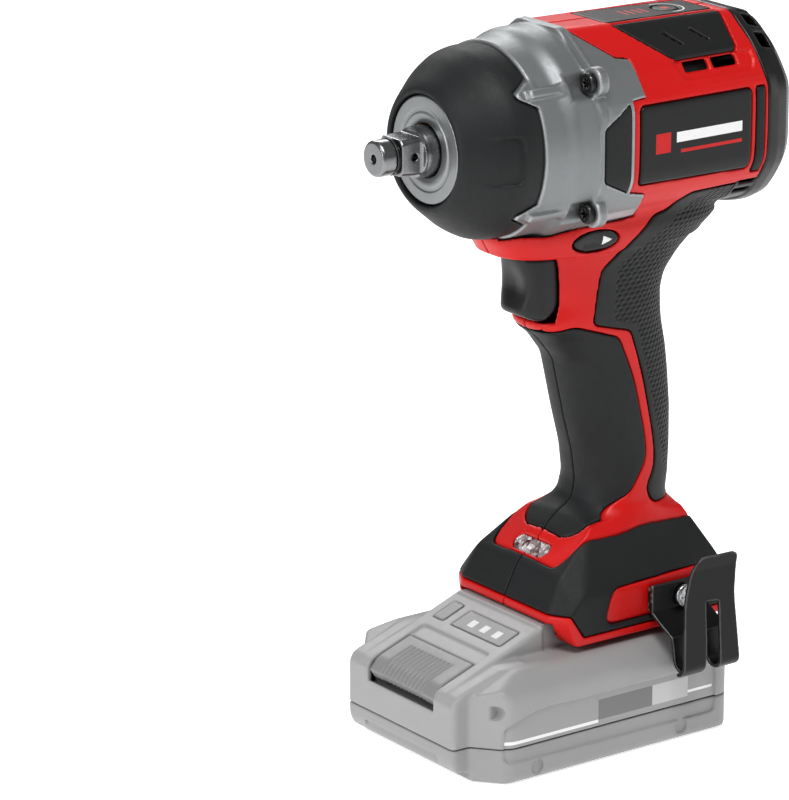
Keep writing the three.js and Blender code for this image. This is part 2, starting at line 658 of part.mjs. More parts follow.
// ---- impact mechanism ----
function anvil() {
  const half = SQUARE / 2;
  const tip = turned([
    [NOSE_X, 0], [NOSE_X, 5.6], [NOSE_X + 0.7, 6.2], [-66.6, 6.2], [-66.6, 5.1], [-64.9, 5.1],
    [-64.9, 7.9], [-55.5, 8.3], [-54, SHAFT_R], [-37.6, SHAFT_R], [-37.6, 0],
  ]);
  const square = join([
    alongX(outline([[-half, -half, 1.2], [half, -half, 1.2], [half, half, 1.2], [-half, half, 1.2]]
      .map(([y, z, r]) => [y, z + AXIS_Z, r])), NOSE_X, -55.5),
    rod(-55.5, -37, SHAFT_R + 1, 8),
  ]);
  const shaft = tip.intersect(square);
  const disc = rod(-37.6, -33.6, 18.5, LARGE);
  const lugs = [0, Math.PI].map((angle) =>
    spun(box(-34, -28.8, -5, 5, AXIS_Z + 9.6, AXIS_Z + 22.5), angle));
  const holes = [
    rod(-80, -69.5, 1.4, SMALL),
    rod(-36.2, -20, 4.5, SMALL),
    rodAlongY(-59.5, AXIS_Z, -10, 10, 1.4),
  ];
  node("anvil", cut(join([shaft, disc, ...lugs]), holes), STEEL);
}

function frictionRing() {
  const ring = tube(-66.4, -65.1, 5.4, 6.5, MEDIUM);
  const opening = box(-70, -60, -1.3, 1.3, AXIS_Z - 10, AXIS_Z);
  node("friction_ring", cut(ring, [opening]), DARK);
}

const HAMMER = { front: -28.2, rear: -6.5, r: 25, bore: 8.4 };

function hammer() {
  const block = turned([
    [HAMMER.front, HAMMER.bore], [HAMMER.front, HAMMER.r - 1.5], [HAMMER.front + 1.5, HAMMER.r],
    [HAMMER.rear - 1, HAMMER.r], [HAMMER.rear, HAMMER.r - 1], [HAMMER.rear, 17.8],
    [-18, 17.8], [-18, 10.6], [HAMMER.rear, 10.6], [HAMMER.rear, HAMMER.bore],
  ]);
  const jaws = [Math.PI / 2, -Math.PI / 2].map((angle) =>
    spun(box(-33, HAMMER.front + 1, -5, 5, AXIS_Z + 9.6, AXIS_Z + 22.5), angle));
  node("hammer", join([block, ...jaws]), STEEL);
}

function camShaft() {
  const shaft = turned([
    [-35.6, 0], [-35.6, 4], [-28.4, 4], [-28.4, 8], [1.5, 8], [1.5, 19], [4.5, 19], [4.5, 0],
  ]);
  const pins = [0, 1, 2].map((i) => {
    const turn = (2 * Math.PI * i) / PLANETS;
    const y = CARRIER_R * Math.cos(turn);
    const z = CARRIER_R * Math.sin(turn);
    return rod(4, 12.8, 2.4, SMALL, y, AXIS_Z + z);
  });
  const pilot = rod(3, 6, 3, SMALL);
  node("cam_shaft", cut(join([shaft, ...pins]), [pilot]), STEEL);
}

// A spring: one closed coil of round wire along X.
function hammerSpring() {
  const coils = 4;
  const radius = 14.2;
  const wire = 1.6;
  const span = [-16, -0.4];
  const steps = 12;
  const points = [];
  for (let i = 0; i <= coils * steps; i++) {
    const turn = (2 * Math.PI * i) / steps;
    const x = span[0] + ((span[1] - span[0]) * i) / (coils * steps);
    points.push(new THREE.Vector3(x, radius * Math.cos(turn), AXIS_Z + radius * Math.sin(turn)));
  }
  const path = new THREE.CatmullRomCurve3(points);
  const section = new THREE.Shape();
  section.absarc(0, 0, wire, 0, 2 * Math.PI, false);
  const coil = new THREE.ExtrudeGeometry(section,
    { extrudePath: path, steps: coils * steps, curveSegments: 3, bevelEnabled: false });
  node("hammer_spring", solid(coil), STEEL);
}

// ---- planetary stage ----
const ADDENDUM = 0.8;
const DEDENDUM = 1.1;
const TIP_SHARE = 0.17; // tooth thickness at the tip, in pitches
const ROOT_SHARE = 0.52;

// A gear's outline about its own middle, with a tooth centred on angle start.
function gearShape(teeth, start, inside = false) {
  const pitch = (teeth * MODULE) / 2;
  const tip = inside ? pitch - ADDENDUM : pitch + ADDENDUM;
  const root = inside ? pitch + DEDENDUM : pitch - DEDENDUM;
  const step = (2 * Math.PI) / teeth;
  const points = [];
  for (let i = 0; i < teeth; i++) {
    const middle = start + i * step;
    const flanks = [[-ROOT_SHARE, root], [-TIP_SHARE, tip], [TIP_SHARE, tip], [ROOT_SHARE, root]];
    for (const [share, r] of flanks) {
      const turn = middle + (share * step) / 2;
      points.push([r * Math.cos(turn), r * Math.sin(turn)]);
    }
  }
  return points;
}

function movedOutline(points, y, z) {
  return outline(points.map(([a, b]) => [a + y, b + z]));
}

function planets() {
  for (let i = 0; i < PLANETS; i++) {
    const turn = (2 * Math.PI * i) / PLANETS;
    const y = CARRIER_R * Math.cos(turn);
    const z = AXIS_Z + CARRIER_R * Math.sin(turn);
    const half = Math.PI / TEETH.planet; // a gap faces the sun gear
    const gear = alongX(movedOutline(gearShape(TEETH.planet, turn + half), y, z), ...GEAR_X);
    node(`planet_gear_${i + 1}`, cut(gear, [rod(0, 20, 2.8, SMALL, y, z)]), STEEL);
  }
}

function ringGear() {
  const teeth = alongX(movedOutline(gearShape(TEETH.ring, 0, true), 0, AXIS_Z), 4.8, 13);
  const cup = turned([[4.8, 0], [4.8, 27], [16.5, 27], [16.5, 0]]);
  const bearingHole = rod(12, 20, 6.2, SMALL);
  const keys = [90, 210, 330].map((angle) =>
    spun(box(6, 16.5, -3, 3, AXIS_Z + 26, AXIS_Z + 28.8), THREE.MathUtils.degToRad(angle)));
  node("ring_gear", cut(join([cup, ...keys]), [teeth, bearingHole]), STEEL);
}

// ---- motor ----
const ROTOR = { shaft: 3, core: 12.2, front: 26, rear: 56, end: 80.5 }; // radii, then places on X

function motor() {
  const { shaft, core, front, rear, end } = ROTOR;
  const profile = [
    [12, 0], [12, shaft], [front, shaft], [front, core], [rear, core], [rear, shaft], [end, shaft],
    [end, 0],
  ];
  const pinion = alongX(movedOutline(gearShape(TEETH.sun, 0), 0, AXIS_Z), 5, 13);
  node("rotor", join([turned(profile, MEDIUM), pinion]), STEEL);

  const slots = [0, 1, 2, 3, 4, 5].map((i) =>
    spun(box(10, 70, -3.4, 3.4, AXIS_Z + 15.6, AXIS_Z + 23.4), (Math.PI * i) / 3));
  node("stator_core", cut(tube(25, 57, 13, 27.4, LARGE), slots), CAST);
  const bars = [0, 1, 2, 3, 4, 5].map((i) =>
    spun(box(22, 60, -3, 3, AXIS_Z + 16, AXIS_Z + 23), (Math.PI * i) / 3));
  const ends = [tube(20.5, 24.6, 14.5, 24, MEDIUM), tube(57.4, 61, 14.5, 24, MEDIUM)];
  node("stator_windings", join([...bars, ...ends]), COPPER);

  const hub = tube(63.5, 72, 3.4, 7, SMALL);
  const disc = tube(70, 72, 6, 25, MEDIUM);
  const blades = Array.from({ length: 9 }, (_, i) =>
    spun(box(63.5, 71, -0.7, 0.7, AXIS_Z + 6.5, AXIS_Z + 24.5), (2 * Math.PI * i) / 9));
  node("fan", join([hub, disc, ...blades]), DARK);
  node("rear_bearing", tube(76.5, 81.5, 3.4, 9, MEDIUM), STEEL);
}

// ---- trigger and electronics ----
function trigger() {
  const { half, top, bottom, back } = TRIGGER;
  const side = outline([
    [back, top, 2], [back, bottom + 4.5, 7], [-8, bottom, 4], [-15.3, 154.4, 2],
    [-13, 164, 6], [-15, 173.2, 2], [-14.2, top],
  ]);
  const above = outline([
    [back, -half], [back, half], [-9, half, 3], [-13.8, 6.5, 3], [-15.4, 2.5, 3], [-15.4, -2.5, 3],
    [-13.8, -6.5, 3], [-9, -half, 3],
  ]);
  node("trigger", alongY(side, -half, half).intersect(alongZ(above, 140, 190)), BLACK);
}

function electronics() {
  const switchBody = box(8.6, 38, -9.5, 9.5, 152.5, 172);
  const plunger = box(6.9, 9, -2, 2, 160, 164);
  node("switch_module", join([switchBody, plunger]), DARK);
  const board = box(2, 50, -22, 22, 56, 58);
  const heatSink = box(8, 30, -15, 15, 57.5, 61);
  const capacitor = rod(33, 46, 3.5, SMALL, 12, 61);
  node("controller_board", join([board, heatSink, capacitor]), BOARD);
  const block = box(22, 46, -14, 14, 50.8, 55.2);
  node("terminal_block", block, DARK);
}

function housingScrews() {
  SCREW_SPOTS.forEach(([x, z], i) => {
    const head = rodAlongY(x, z, SCREW_HEAD_Y - 3, SCREW_HEAD_Y, 3);
    const shank = rodAlongY(x, z, -9, SCREW_HEAD_Y - 2.5, 1.5);
    const socket = rodAlongY(x, z, SCREW_HEAD_Y - 1.5, SCREW_HEAD_Y + 1, 1.3, 6);
    node(`housing_screw_${i + 1}`, cut(join([head, shank]), [socket]), DARK);
  });
}

// ---- belt clip ----
const CLIP = { wall: 1.3, plate: -34.6, leg: -44.6, tongue: -52.4, low: 27.5, bend: 3.9 };

function beltClip() {
  const { wall, plate, leg, tongue, low, bend } = CLIP;
  const path = [[plate, 56], [plate, 46.5], [leg, 39.8], [leg, low + bend]];
  const middle = (leg + tongue) / 2;
  for (let k = 1; k < 6; k++) {
    const turn = (Math.PI * k) / 6;
    path.push([middle + bend * Math.cos(turn), low + bend - bend * Math.sin(turn)]);
  }
  path.push([tongue, low + bend], [tongue, 66], [tongue - 1, 71]);
  const strip = alongX(ribbon(path, wall), 21, 49.5);
  const tongueShape = outline([
    [28.2, 70.8, 3], [45.6, 70.4, 2], [44.7, 55, 4], [48.4, 26], [39.4, 26], [37.8, 53.4, 0.8],
    [32, 54.2, 0.8], [32.7, 40, 2], [32.8, 26], [22.9, 26], [22.6, 55, 4], [24.8, 65, 4],
  ]);
  const legShape = outline([
    [22.4, 57], [47, 57], [47, 47, 1], [47.6, 40], [48.4, 26], [39.4, 26], [38.6, 44, 2],
    [33.2, 44, 2], [32.8, 26], [25.4, 26], [24.2, 36, 2], [22.4, 45, 2],
  ]);
  const outer = alongY(tongueShape, -60, middle);
  const inner = alongY(legShape, middle, -20);
  const hole = rodAlongY(36, 51, -40, -30, 2.5);
  const tab = box(22.4, 23.6, -35.2, -32.4, 46.8, 55.6);
  const piece = join([strip.intersect(join([outer, inner])), tab]);
  node("belt_clip", cut(piece, [hole]), DARK);
}

// A strip of even thickness along a bent line.
function ribbon(path, wall) {
  const points = path.map(([a, b]) => new THREE.Vector2(a, b));
  const sides = [1, -1].map((side) => points.map((p, i) => {
    const before = points[Math.max(0, i - 1)];
    const after = points[Math.min(points.length - 1, i + 1)];
    const into = p.clone().sub(before).normalize();
    const out = after.clone().sub(p).normalize();
    const along = into.add(out).normalize();
    return [p.x - (side * along.y * wall) / 2, p.y + (side * along.x * wall) / 2];
  }));
  return outline([...sides[0], ...sides[1].reverse()]);
}

function clipScrew() {
  const head = rodAlongY(36, 51, -37.6, -35.6, 4.2, 12);
  const shank = rodAlongY(36, 51, -36, -32.6, 2, 8);
  node("belt_clip_screw", cut(join([head, shank]), [rodAlongY(36, 51, -40, -36.4, 1.7, 6)]), STEEL);
}

// ---- battery ----
const SLOPE = [[-61.2, 28], [-59.5, 31], [-55.5, 32.6], [-17, RAIL.top - 0.2]]; // top of the front, x and z

function batteryForm(inset) {
  const { front, rear, half, shoulder } = BATTERY;
  const corner = 8;
  const plan = outline([
    [front + inset, -31.5 + inset / 2], [front + 9.5 + inset / 2, -half + inset, 2],
    [rear - inset, -half + inset, corner], [rear - inset, half - inset, corner],
    [front + 9.5 + inset / 2, half - inset, 2], [front + inset, 31.5 - inset / 2],
  ]);
  const section = outline([
    [-half + inset, inset + 1.5], [-half + inset + 1.5, inset], [half - inset - 1.5, inset],
    [half - inset, inset + 1.5], [half - inset, shoulder - 7 - inset], [half - inset - 9, shoulder - inset],
    [-half + inset + 9, shoulder - inset], [-half + inset, shoulder - 7 - inset],
  ]);
  const low = outline([
    [front - 2, -5], [front - 2, 30.2 - inset], [-36, 38.2 - inset], [80, 38.2 - inset], [80, -5],
  ]);
  const trunk = intersectAll([alongZ(plan, 0, 60), alongX(section, -80, 80), alongY(low, -60, 60)]);
  const nose = alongY(outline([
    [-61.2 + inset, 8], [-59 + inset, 3.5 + inset], [-40, 3.5 + inset], [-30, 20], [-30, shoulder - inset],
    [-40, shoulder - inset - 0.5], ...SLOPE.slice(0, 3).reverse().map(([x, z]) => [x + inset, z - inset]),
  ]), -31 + inset, 31 - inset);
  const deck = alongY(outline([
    ...SLOPE.map(([x, z]) => [x + inset, z - inset]), [-17 + inset, 30], [-55 + inset, 20],
  ]), -24.5 + inset, 24.5 - inset);
  return join([trunk, nose, deck, rails(inset)]);
}

// The T-shaped block that slides into the foot; its hollow is a plain channel.
function rails(inset) {
  const stem = RAIL.half - 3;
  if (inset > 0) {
    return box(RAIL.front + inset, RAIL.rear - inset, -stem + inset, stem - inset, 20, RAIL.top - inset);
  }
  const under = box(RAIL.front - 2, RAIL.rear, -stem, stem, 30, RAIL.top);
  return under.add(box(RAIL.head, RAIL.rear, -RAIL.half, RAIL.half, 43.7, RAIL.top));
}

const BATTERY_SCREWS = [ // x, z and floor of the sunk screw places
  [-48.4, 25.8, 36.4], [-33, 4.4, 41.3], [30.8, 4.8, 41.3],
];
const GAUGE_LENS = [[-32.3, -18.9], [-23.6, -18.9], [-23.6, 9.2], [-32.3, 9.2]];
const GAUGE_KEY = [[-32.2, 13.9], [-22.8, 13.9], [-22.8, 19.7], [-32.2, 19.7]];
const BUTTON = { front: -60.6, rear: -43, half: 18.6, floor: 21.9, travel: 2.6 };

function battery() {
  const form = batteryForm(0);
  const inside = batteryForm(2.2);
  const split = BATTERY.seam;
  const low = box(-80, 80, -60, 60, -5, split - GAP / 2);
  const high = box(-80, 80, -60, 60, split + GAP / 2, 60);
  const recess = box(-80, BUTTON.rear + 0.6, -BUTTON.half - 0.6, BUTTON.half + 0.6, BUTTON.floor, 60);
  const lining = box(-57, BUTTON.rear + 2, -BUTTON.half - 2.4, BUTTON.half + 2.4, BUTTON.floor - 1.4, 60);
  const shell = cut(form, [inside]);
  const wall = lining.intersect(form);
  const screwHoles = BATTERY_SCREWS.flatMap(([x, z, floor]) => [SIDE.left, SIDE.right].map((side) =>
    mirrored(rodAlongY(x, z, -50, -floor, 2.6, 8), side)));
  const seats = [GAUGE_LENS, GAUGE_KEY].map((points) =>
    deckLayer(-3, 1.6).intersect(alongZ(outline(grown(points, GAP)), 20, 60)));
  const ledge = deckLayer(-3, 0.8).intersect(alongZ(outline(KEY_LEDGE), 20, 60));
  const upper = cut(join([shell, wall]), [recess, ...seats, ledge, ...screwHoles, ...panels()]);
  node("battery_lower_case", cut(shell, [...screwHoles, ...panels()]).intersect(low), MID_GREY);
  node("battery_upper_case", upper.intersect(high), LIGHT_GREY);
}

const KEY_LEDGE = [[-43, -19], [-36.8, -19], [-36.8, 19], [-43, 19]]; // behind the release key
const SIDE_PANEL = [[-46.5, 7.6, 2], [46, 7.2, 2], [46, 25, 2], [-34, 25.6, 2], [-46.5, 20.8, 2]];

// The sunk label fields on both sides and the hollow low on the front.
function panels() {
  const label = alongY(outline(SIDE_PANEL), -REACH, -BATTERY.half + 0.8);
  return [label, label.scale([1, -1, 1]), box(-62, -59.8, -21, 21, 0, 8.4)];
}

// A layer of the sloping deck in front of the tool, between two depths.
function deckLayer(from, to) {
  const line = (depth) => [[-60, 31.2 - depth], [-17, RAIL.top - 0.2 - depth]];
  const [a, b] = line(from);
  const [c, d] = line(to);
  return alongY(outline([a, b, d, c]), -40, 40);
}

function batteryTopPieces() {
  const lens = deckLayer(0, 1.2).intersect(alongZ(outline(GAUGE_LENS), 20, 60));
  node("battery_gauge_lens", lens, MID_GREY);
  const key = deckLayer(-0.2, 0.8).intersect(alongZ(outline(GAUGE_KEY), 20, 60));
  node("battery_gauge_button", key, DARK);
}

function releaseButton() {
  const { front, rear, half, floor, travel } = BUTTON;
  const side = outline([
    [front, 25], [front, 28.4, 1], [front + 3, 32, 2], [rear, 37.2, 1], [rear, floor + travel + 0.5],
    [front + 2, floor + travel + 0.5],
  ]);
  const ribs = Array.from({ length: 6 }, (_, i) =>
    alongY(outline([[front - 1, 26], [front - 1, 36], [rear - 4, 42], [rear - 4, 35.4],
      [front + 3.4, 31.4], [front + 0.6, 28]]), -12.5 + i * 4.4, -11.3 + i * 4.4));
  node("battery_release_button", cut(alongY(side, -half, half), ribs), MID_GREY);
}

function cells() {
  const r = 9;
  const pitch = 18.2;
  const rows = [[-40.4, 11.35], [-31.3, 26.4]];
  const pieces = rows.flatMap(([x0, z]) =>
    [0, 1, 2, 3, 4].map((i) => rodAlongY(x0 + i * pitch, z, -31, 31, r, 12)));
  const strap = (y) => box(-44, 44, y, y + 1.6, 8, 30);
  node("battery_cells", join([...pieces, strap(-32.4), strap(30.8)]), SLEEVE);
  node("battery_contacts", box(22, 44, -14, 14, 38.6, 42.5), DARK);
}

housing("housing_left", SIDE.left);
housing("housing_right", SIDE.right);
pads();
modeButton();
rearCap();
gearcase();
inserts();
boot();
frontPlate();
bushing();
gearcaseScrews();
anvil();
frictionRing();
hammer();
camShaft();
hammerSpring();
planets();
ringGear();
motor();
trigger();
selector();
electronics();
housingScrews();
lamp();
beltClip();
clipScrew();
battery();
batteryTopPieces();
releaseButton();
cells();

export default tool;
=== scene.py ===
"""The looks of a cordless impact wrench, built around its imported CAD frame.

Shapes are worked out in millimetres as distance fields and become meshes in metres.
The drive points along -X, the operator's left is -Y and +Z is up.
"""

import json
import math
from functools import reduce
from types import SimpleNamespace as Sizes

import bmesh
import bpy
import numpy as np
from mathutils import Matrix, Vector


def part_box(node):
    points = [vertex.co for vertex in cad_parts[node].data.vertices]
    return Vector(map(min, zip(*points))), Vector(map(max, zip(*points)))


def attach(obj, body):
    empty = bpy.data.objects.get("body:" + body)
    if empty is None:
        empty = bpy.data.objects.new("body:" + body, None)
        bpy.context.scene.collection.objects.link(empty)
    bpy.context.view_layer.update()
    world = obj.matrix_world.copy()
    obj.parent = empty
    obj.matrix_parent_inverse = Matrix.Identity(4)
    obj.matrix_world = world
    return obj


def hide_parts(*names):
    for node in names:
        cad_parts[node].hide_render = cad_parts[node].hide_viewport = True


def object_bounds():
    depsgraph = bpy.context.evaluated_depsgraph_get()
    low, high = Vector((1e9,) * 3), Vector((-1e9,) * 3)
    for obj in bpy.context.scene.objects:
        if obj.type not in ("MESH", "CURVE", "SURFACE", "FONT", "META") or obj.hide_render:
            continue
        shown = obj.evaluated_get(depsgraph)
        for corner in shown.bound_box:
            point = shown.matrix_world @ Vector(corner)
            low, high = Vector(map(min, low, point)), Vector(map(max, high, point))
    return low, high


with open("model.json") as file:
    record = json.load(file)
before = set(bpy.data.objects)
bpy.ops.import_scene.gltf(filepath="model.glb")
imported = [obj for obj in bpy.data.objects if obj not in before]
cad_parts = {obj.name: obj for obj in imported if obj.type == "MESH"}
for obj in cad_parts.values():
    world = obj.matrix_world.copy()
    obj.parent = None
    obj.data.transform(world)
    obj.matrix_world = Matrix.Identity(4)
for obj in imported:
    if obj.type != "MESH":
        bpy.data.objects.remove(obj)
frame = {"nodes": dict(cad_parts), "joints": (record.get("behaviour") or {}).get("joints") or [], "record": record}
cad_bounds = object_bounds()

MM = 0.001
AXIS_Z = [j["pos_m"][2] / MM for j in frame["joints"] if j["name"] == "anvil_spin"][0]


def new_object(name, data):
    made = bpy.data.objects.new(name, data)
    bpy.context.scene.collection.objects.link(made)
    return made


def aim(thing, back):
    """Points a camera or a light along its own -Z, away from the direction back."""
    thing.rotation_euler = back.to_track_quat("Z", "Y").to_euler()


# ---- camera ----
CAMERA_PLACE = (-0.9504, -1.2213, 0.5967)
CAMERA_AZIMUTH = math.radians(-35.99)
CAMERA_RISE = math.radians(17.13)
CAMERA_LENS = 209.2


def add_camera():
    data = bpy.data.cameras.new("camera")
    data.lens = CAMERA_LENS
    data.sensor_width = 36
    data.clip_end = 20
    camera = new_object("camera", data)
    camera.location = CAMERA_PLACE
    flat = math.cos(CAMERA_RISE)
    aim(camera, Vector((math.sin(CAMERA_AZIMUTH) * flat, -math.cos(CAMERA_AZIMUTH) * flat,
                        math.sin(CAMERA_RISE))))
    bpy.context.scene.camera = camera


add_camera()


# ---- distance fields: negative inside, in millimetres ----
class Grid:
    """A block of sample points: open arrays of X, Y and Z, of the distance off the middle
    plane and of the height over the drive axis."""

    def __init__(self, low, high, pitch):
        ends = zip(low, high)
        axes = [np.arange(a - 2 * pitch, b + 2.5 * pitch, pitch, dtype=np.float32) for a, b in ends]
        self.low = np.array([axis[0] for axis in axes])
        self.pitch = pitch
        self.shape = tuple(len(axis) for axis in axes)
        self.x = axes[0][:, None, None]
        self.y = axes[1][None, :, None]
        self.z = axes[2][None, None, :]
        self.off = np.abs(self.y)
        self.up = self.z - AXIS_Z

    def full(self, field):
        return np.array(np.broadcast_to(field, self.shape), dtype=np.float32)


def join(a, b, k=0.4):
    """Union with a fillet of about k."""
    h = np.clip(0.5 + 0.5 * (b - a) / k, 0, 1)
    return b + (a - b) * h - k * h * (1 - h)


def meet(a, b, k=0.4):
    """Intersection with an edge rounded by about k."""
    return -join(-a, -b, k)


def carve(a, b, k=0.4):
    """a without b."""
    return meet(a, -b, k)


def both(*fields):
    """What is inside all of the fields, with sharp edges."""
    return reduce(np.maximum, fields)


def either(*fields):
    """What is inside any of the fields."""
    return reduce(np.minimum, fields)


def between(value, low, high):
    return both(low - value, value - high)


def away(a, b):
    return np.sqrt(a ** 2 + b ** 2)


def block(g, x, y, z, k=0.4):
    flat = meet(between(g.x, *x), between(g.y, *y), k)
    return meet(flat, between(g.z, *z), k)


ARC_POINTS = 6


def rounded(points):
    """The corners of an outline, with [a, b, radius] corners turned into arcs."""
    line = []
    for i, corner in enumerate(points):
        at = np.array(corner[:2], float)
        radius = corner[2] if len(corner) > 2 else 0
        if not radius:
            line.append(tuple(at))
            continue
        before = np.array(points[i - 1][:2]) - at
        after = np.array(points[(i + 1) % len(points)][:2]) - at
        reach = min(radius, 0.45 * np.linalg.norm(before), 0.45 * np.linalg.norm(after))
        start = at + before / np.linalg.norm(before) * reach
        end = at + after / np.linalg.norm(after) * reach
        for t in np.linspace(0, 1, ARC_POINTS):
            line.append(tuple((1 - t) ** 2 * start + 2 * t * (1 - t) * at + t * t * end))
    return line


def polygon(a, b, points):
    """Distance to a closed outline given in the directions a and b."""
    line = rounded(points)
    distance = np.full(np.broadcast(a, b).shape, 1e9, np.float32)
    inside = np.zeros(distance.shape, bool)
    for (a0, b0), (a1, b1) in zip(line, line[1:] + line[:1]):
        da, db = a1 - a0, b1 - b0
        if abs(da) + abs(db) < 1e-6:
            continue
        t = np.clip(((a - a0) * da + (b - b0) * db) / (da * da + db * db), 0, 1)
        distance = np.minimum(distance, (a - a0 - t * da) ** 2 + (b - b0 - t * db) ** 2)
        if abs(db) > 1e-9:
            inside ^= ((b0 > b) != (b1 > b)) & (a < da * (b - b0) / db + a0)
    return np.where(inside, -1, 1).astype(np.float32) * np.sqrt(distance)


def turned(g, profile):
    """A closed [x, radius] profile turned about the drive axis."""
    radius = away(g.y, g.up)
    steps = np.arange(-g.pitch, float(radius.max()) + g.pitch, g.pitch / 2, dtype=np.float32)
    table = polygon(g.x[:, :, 0], steps[None, :], profile)
    place = (radius[0] - steps[0]) / (g.pitch / 2)
    index = np.clip(place.astype(int), 0, len(steps) - 2)
    share = (place - index).astype(np.float32)
    return table[:, index] * (1 - share) + table[:, index + 1] * share


def rod(g, x0, x1, radius, y, z, k=0.3):
    return meet(away(g.y - y, g.z - z) - radius, between(g.x, x0, x1), k)


def rod_y(g, x, z, y0, y1, radius, k=0.3):
    return meet(away(g.x - x, g.z - z) - radius, between(g.y, y0, y1), k)


def spun_block(g, angle, x, half, r0, r1, k=0.4):
    """A block that stands out from the drive axis at an angle from the top."""
    turn = math.radians(angle)
    up = g.up * math.cos(turn) - g.y * math.sin(turn)
    side = g.up * math.sin(turn) + g.y * math.cos(turn)
    return meet(meet(between(g.x, *x), np.abs(side) - half, k), between(up, r0, r1), k)


# ---- from fields to meshes ----
CORNERS = [(i, j, k) for i in (0, 1) for j in (0, 1) for k in (0, 1)]
EDGES = [(a, b) for a in range(8) for b in range(a + 1, 8)
         if sum(abs(p - q) for p, q in zip(CORNERS[a], CORNERS[b])) == 1]


def cell_points(field, cells):
    """In each cell that the surface crosses, the middle of the crossings on its edges."""
    values = np.stack([field[cells[0] + i, cells[1] + j, cells[2] + k] for i, j, k in CORNERS], 1)
    total = np.zeros((len(values), 3))
    count = np.zeros(len(values))
    for a, b in EDGES:
        crossed = (values[:, a] < 0) != (values[:, b] < 0)
        va, vb = values[crossed, a], values[crossed, b]
        t = (va / (va - vb))[:, None]
        total[crossed] += np.array(CORNERS[a]) * (1 - t) + np.array(CORNERS[b]) * t
        count[crossed] += 1
    return np.stack(cells, 1) + total / count[:, None]


def surface(g, field):
    """Vertices in metres and quads of the surface where the field is zero."""
    field = g.full(field)
    for axis in range(3):  # nothing is open at the block's sides
        layers = np.moveaxis(field, axis, 0)
        layers[[0, -1]] = np.maximum(layers[[0, -1]], 0.01)
    inside = field < 0
    count = sum(inside[i:inside.shape[0] - 1 + i, j:inside.shape[1] - 1 + j,
                       k:inside.shape[2] - 1 + k].astype(np.int8) for i, j, k in CORNERS)
    cells = np.nonzero((count > 0) & (count < 8))
    number = np.full(count.shape, -1, np.int64)
    number[cells] = np.arange(len(cells[0]))
    quads = []
    for axis in range(3):
        other, last = (axis + 1) % 3, (axis + 2) % 3
        low = [slice(1, -1)] * 3
        low[axis] = slice(0, -1)
        high = list(low)
        high[axis] = slice(1, None)
        first, second = inside[tuple(low)], inside[tuple(high)]
        where = np.array(np.nonzero(first != second))
        where[[other, last]] += 1
        corners = []
        for step in ((1, 1), (0, 1), (0, 0), (1, 0)):
            place = where.copy()
            place[[other, last]] -= np.array(step)[:, None]
            corners.append(number[tuple(place)])
        quad = np.stack(corners, 1)
        flipped = ~inside[tuple(where)]
        quad[flipped] = quad[flipped][:, ::-1]
        quads.append(quad)
    points = (cell_points(field, cells) * g.pitch + g.low) * MM
    return points, np.concatenate(quads)


def new_piece(name, points, faces, keep=1.0):
    mesh = bpy.data.meshes.new(name)
    mesh.vertices.add(len(points))
    mesh.vertices.foreach_set("co", np.asarray(points, np.float32).ravel())
    mesh.loops.add(faces.size)
    mesh.loops.foreach_set("vertex_index", faces.astype(np.int32).ravel())
    mesh.polygons.add(len(faces))
    starts = np.arange(0, faces.size, faces.shape[1], dtype=np.int32)
    mesh.polygons.foreach_set("loop_start", starts)
    mesh.update(calc_edges=True)
    mesh.validate()
    piece = new_object(name, mesh)
    if keep < 1:
        reduce_mesh(piece, keep)
    piece.data.shade_smooth()
    return piece


def reduce_mesh(piece, keep):
    """Takes away the faces that flat stretches don't need."""
    modifier = piece.modifiers.new("reduce", "DECIMATE")
    modifier.ratio = keep
    view = bpy.context.evaluated_depsgraph_get()
    smaller = bpy.data.meshes.new_from_object(piece.evaluated_get(view))
    piece.modifiers.clear()
    old = piece.data
    piece.data = smaller
    bpy.data.meshes.remove(old)


def wear(piece, material):
    piece.data.materials.clear()
    piece.data.materials.append(material)


def finish_piece(piece, node, material):
    """The piece stands for a CAD node, on that node's body."""
    body = [b for b, nodes in frame["record"]["behaviour"]["bodies"].items() if node in nodes][0]
    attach(piece, body)
    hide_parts(node)
    wear(piece, material)


# ---- outer form of the tool ----
WALL = 2.6
PAD = 1.6
SEAM = 0.18  # half the gap between two outer pieces
BARREL = [[27.5, 24.5], [31.5, 19], [35.4, 13], [36, 0], [35.4, -13], [31, -21], [23, -29],
          [10, -33.5]]  # y and height over the axis, below the flat top
TOP = Sizes(corner=(11, 37), drop=1.8)
BARREL_X = (0.3, 70.0)
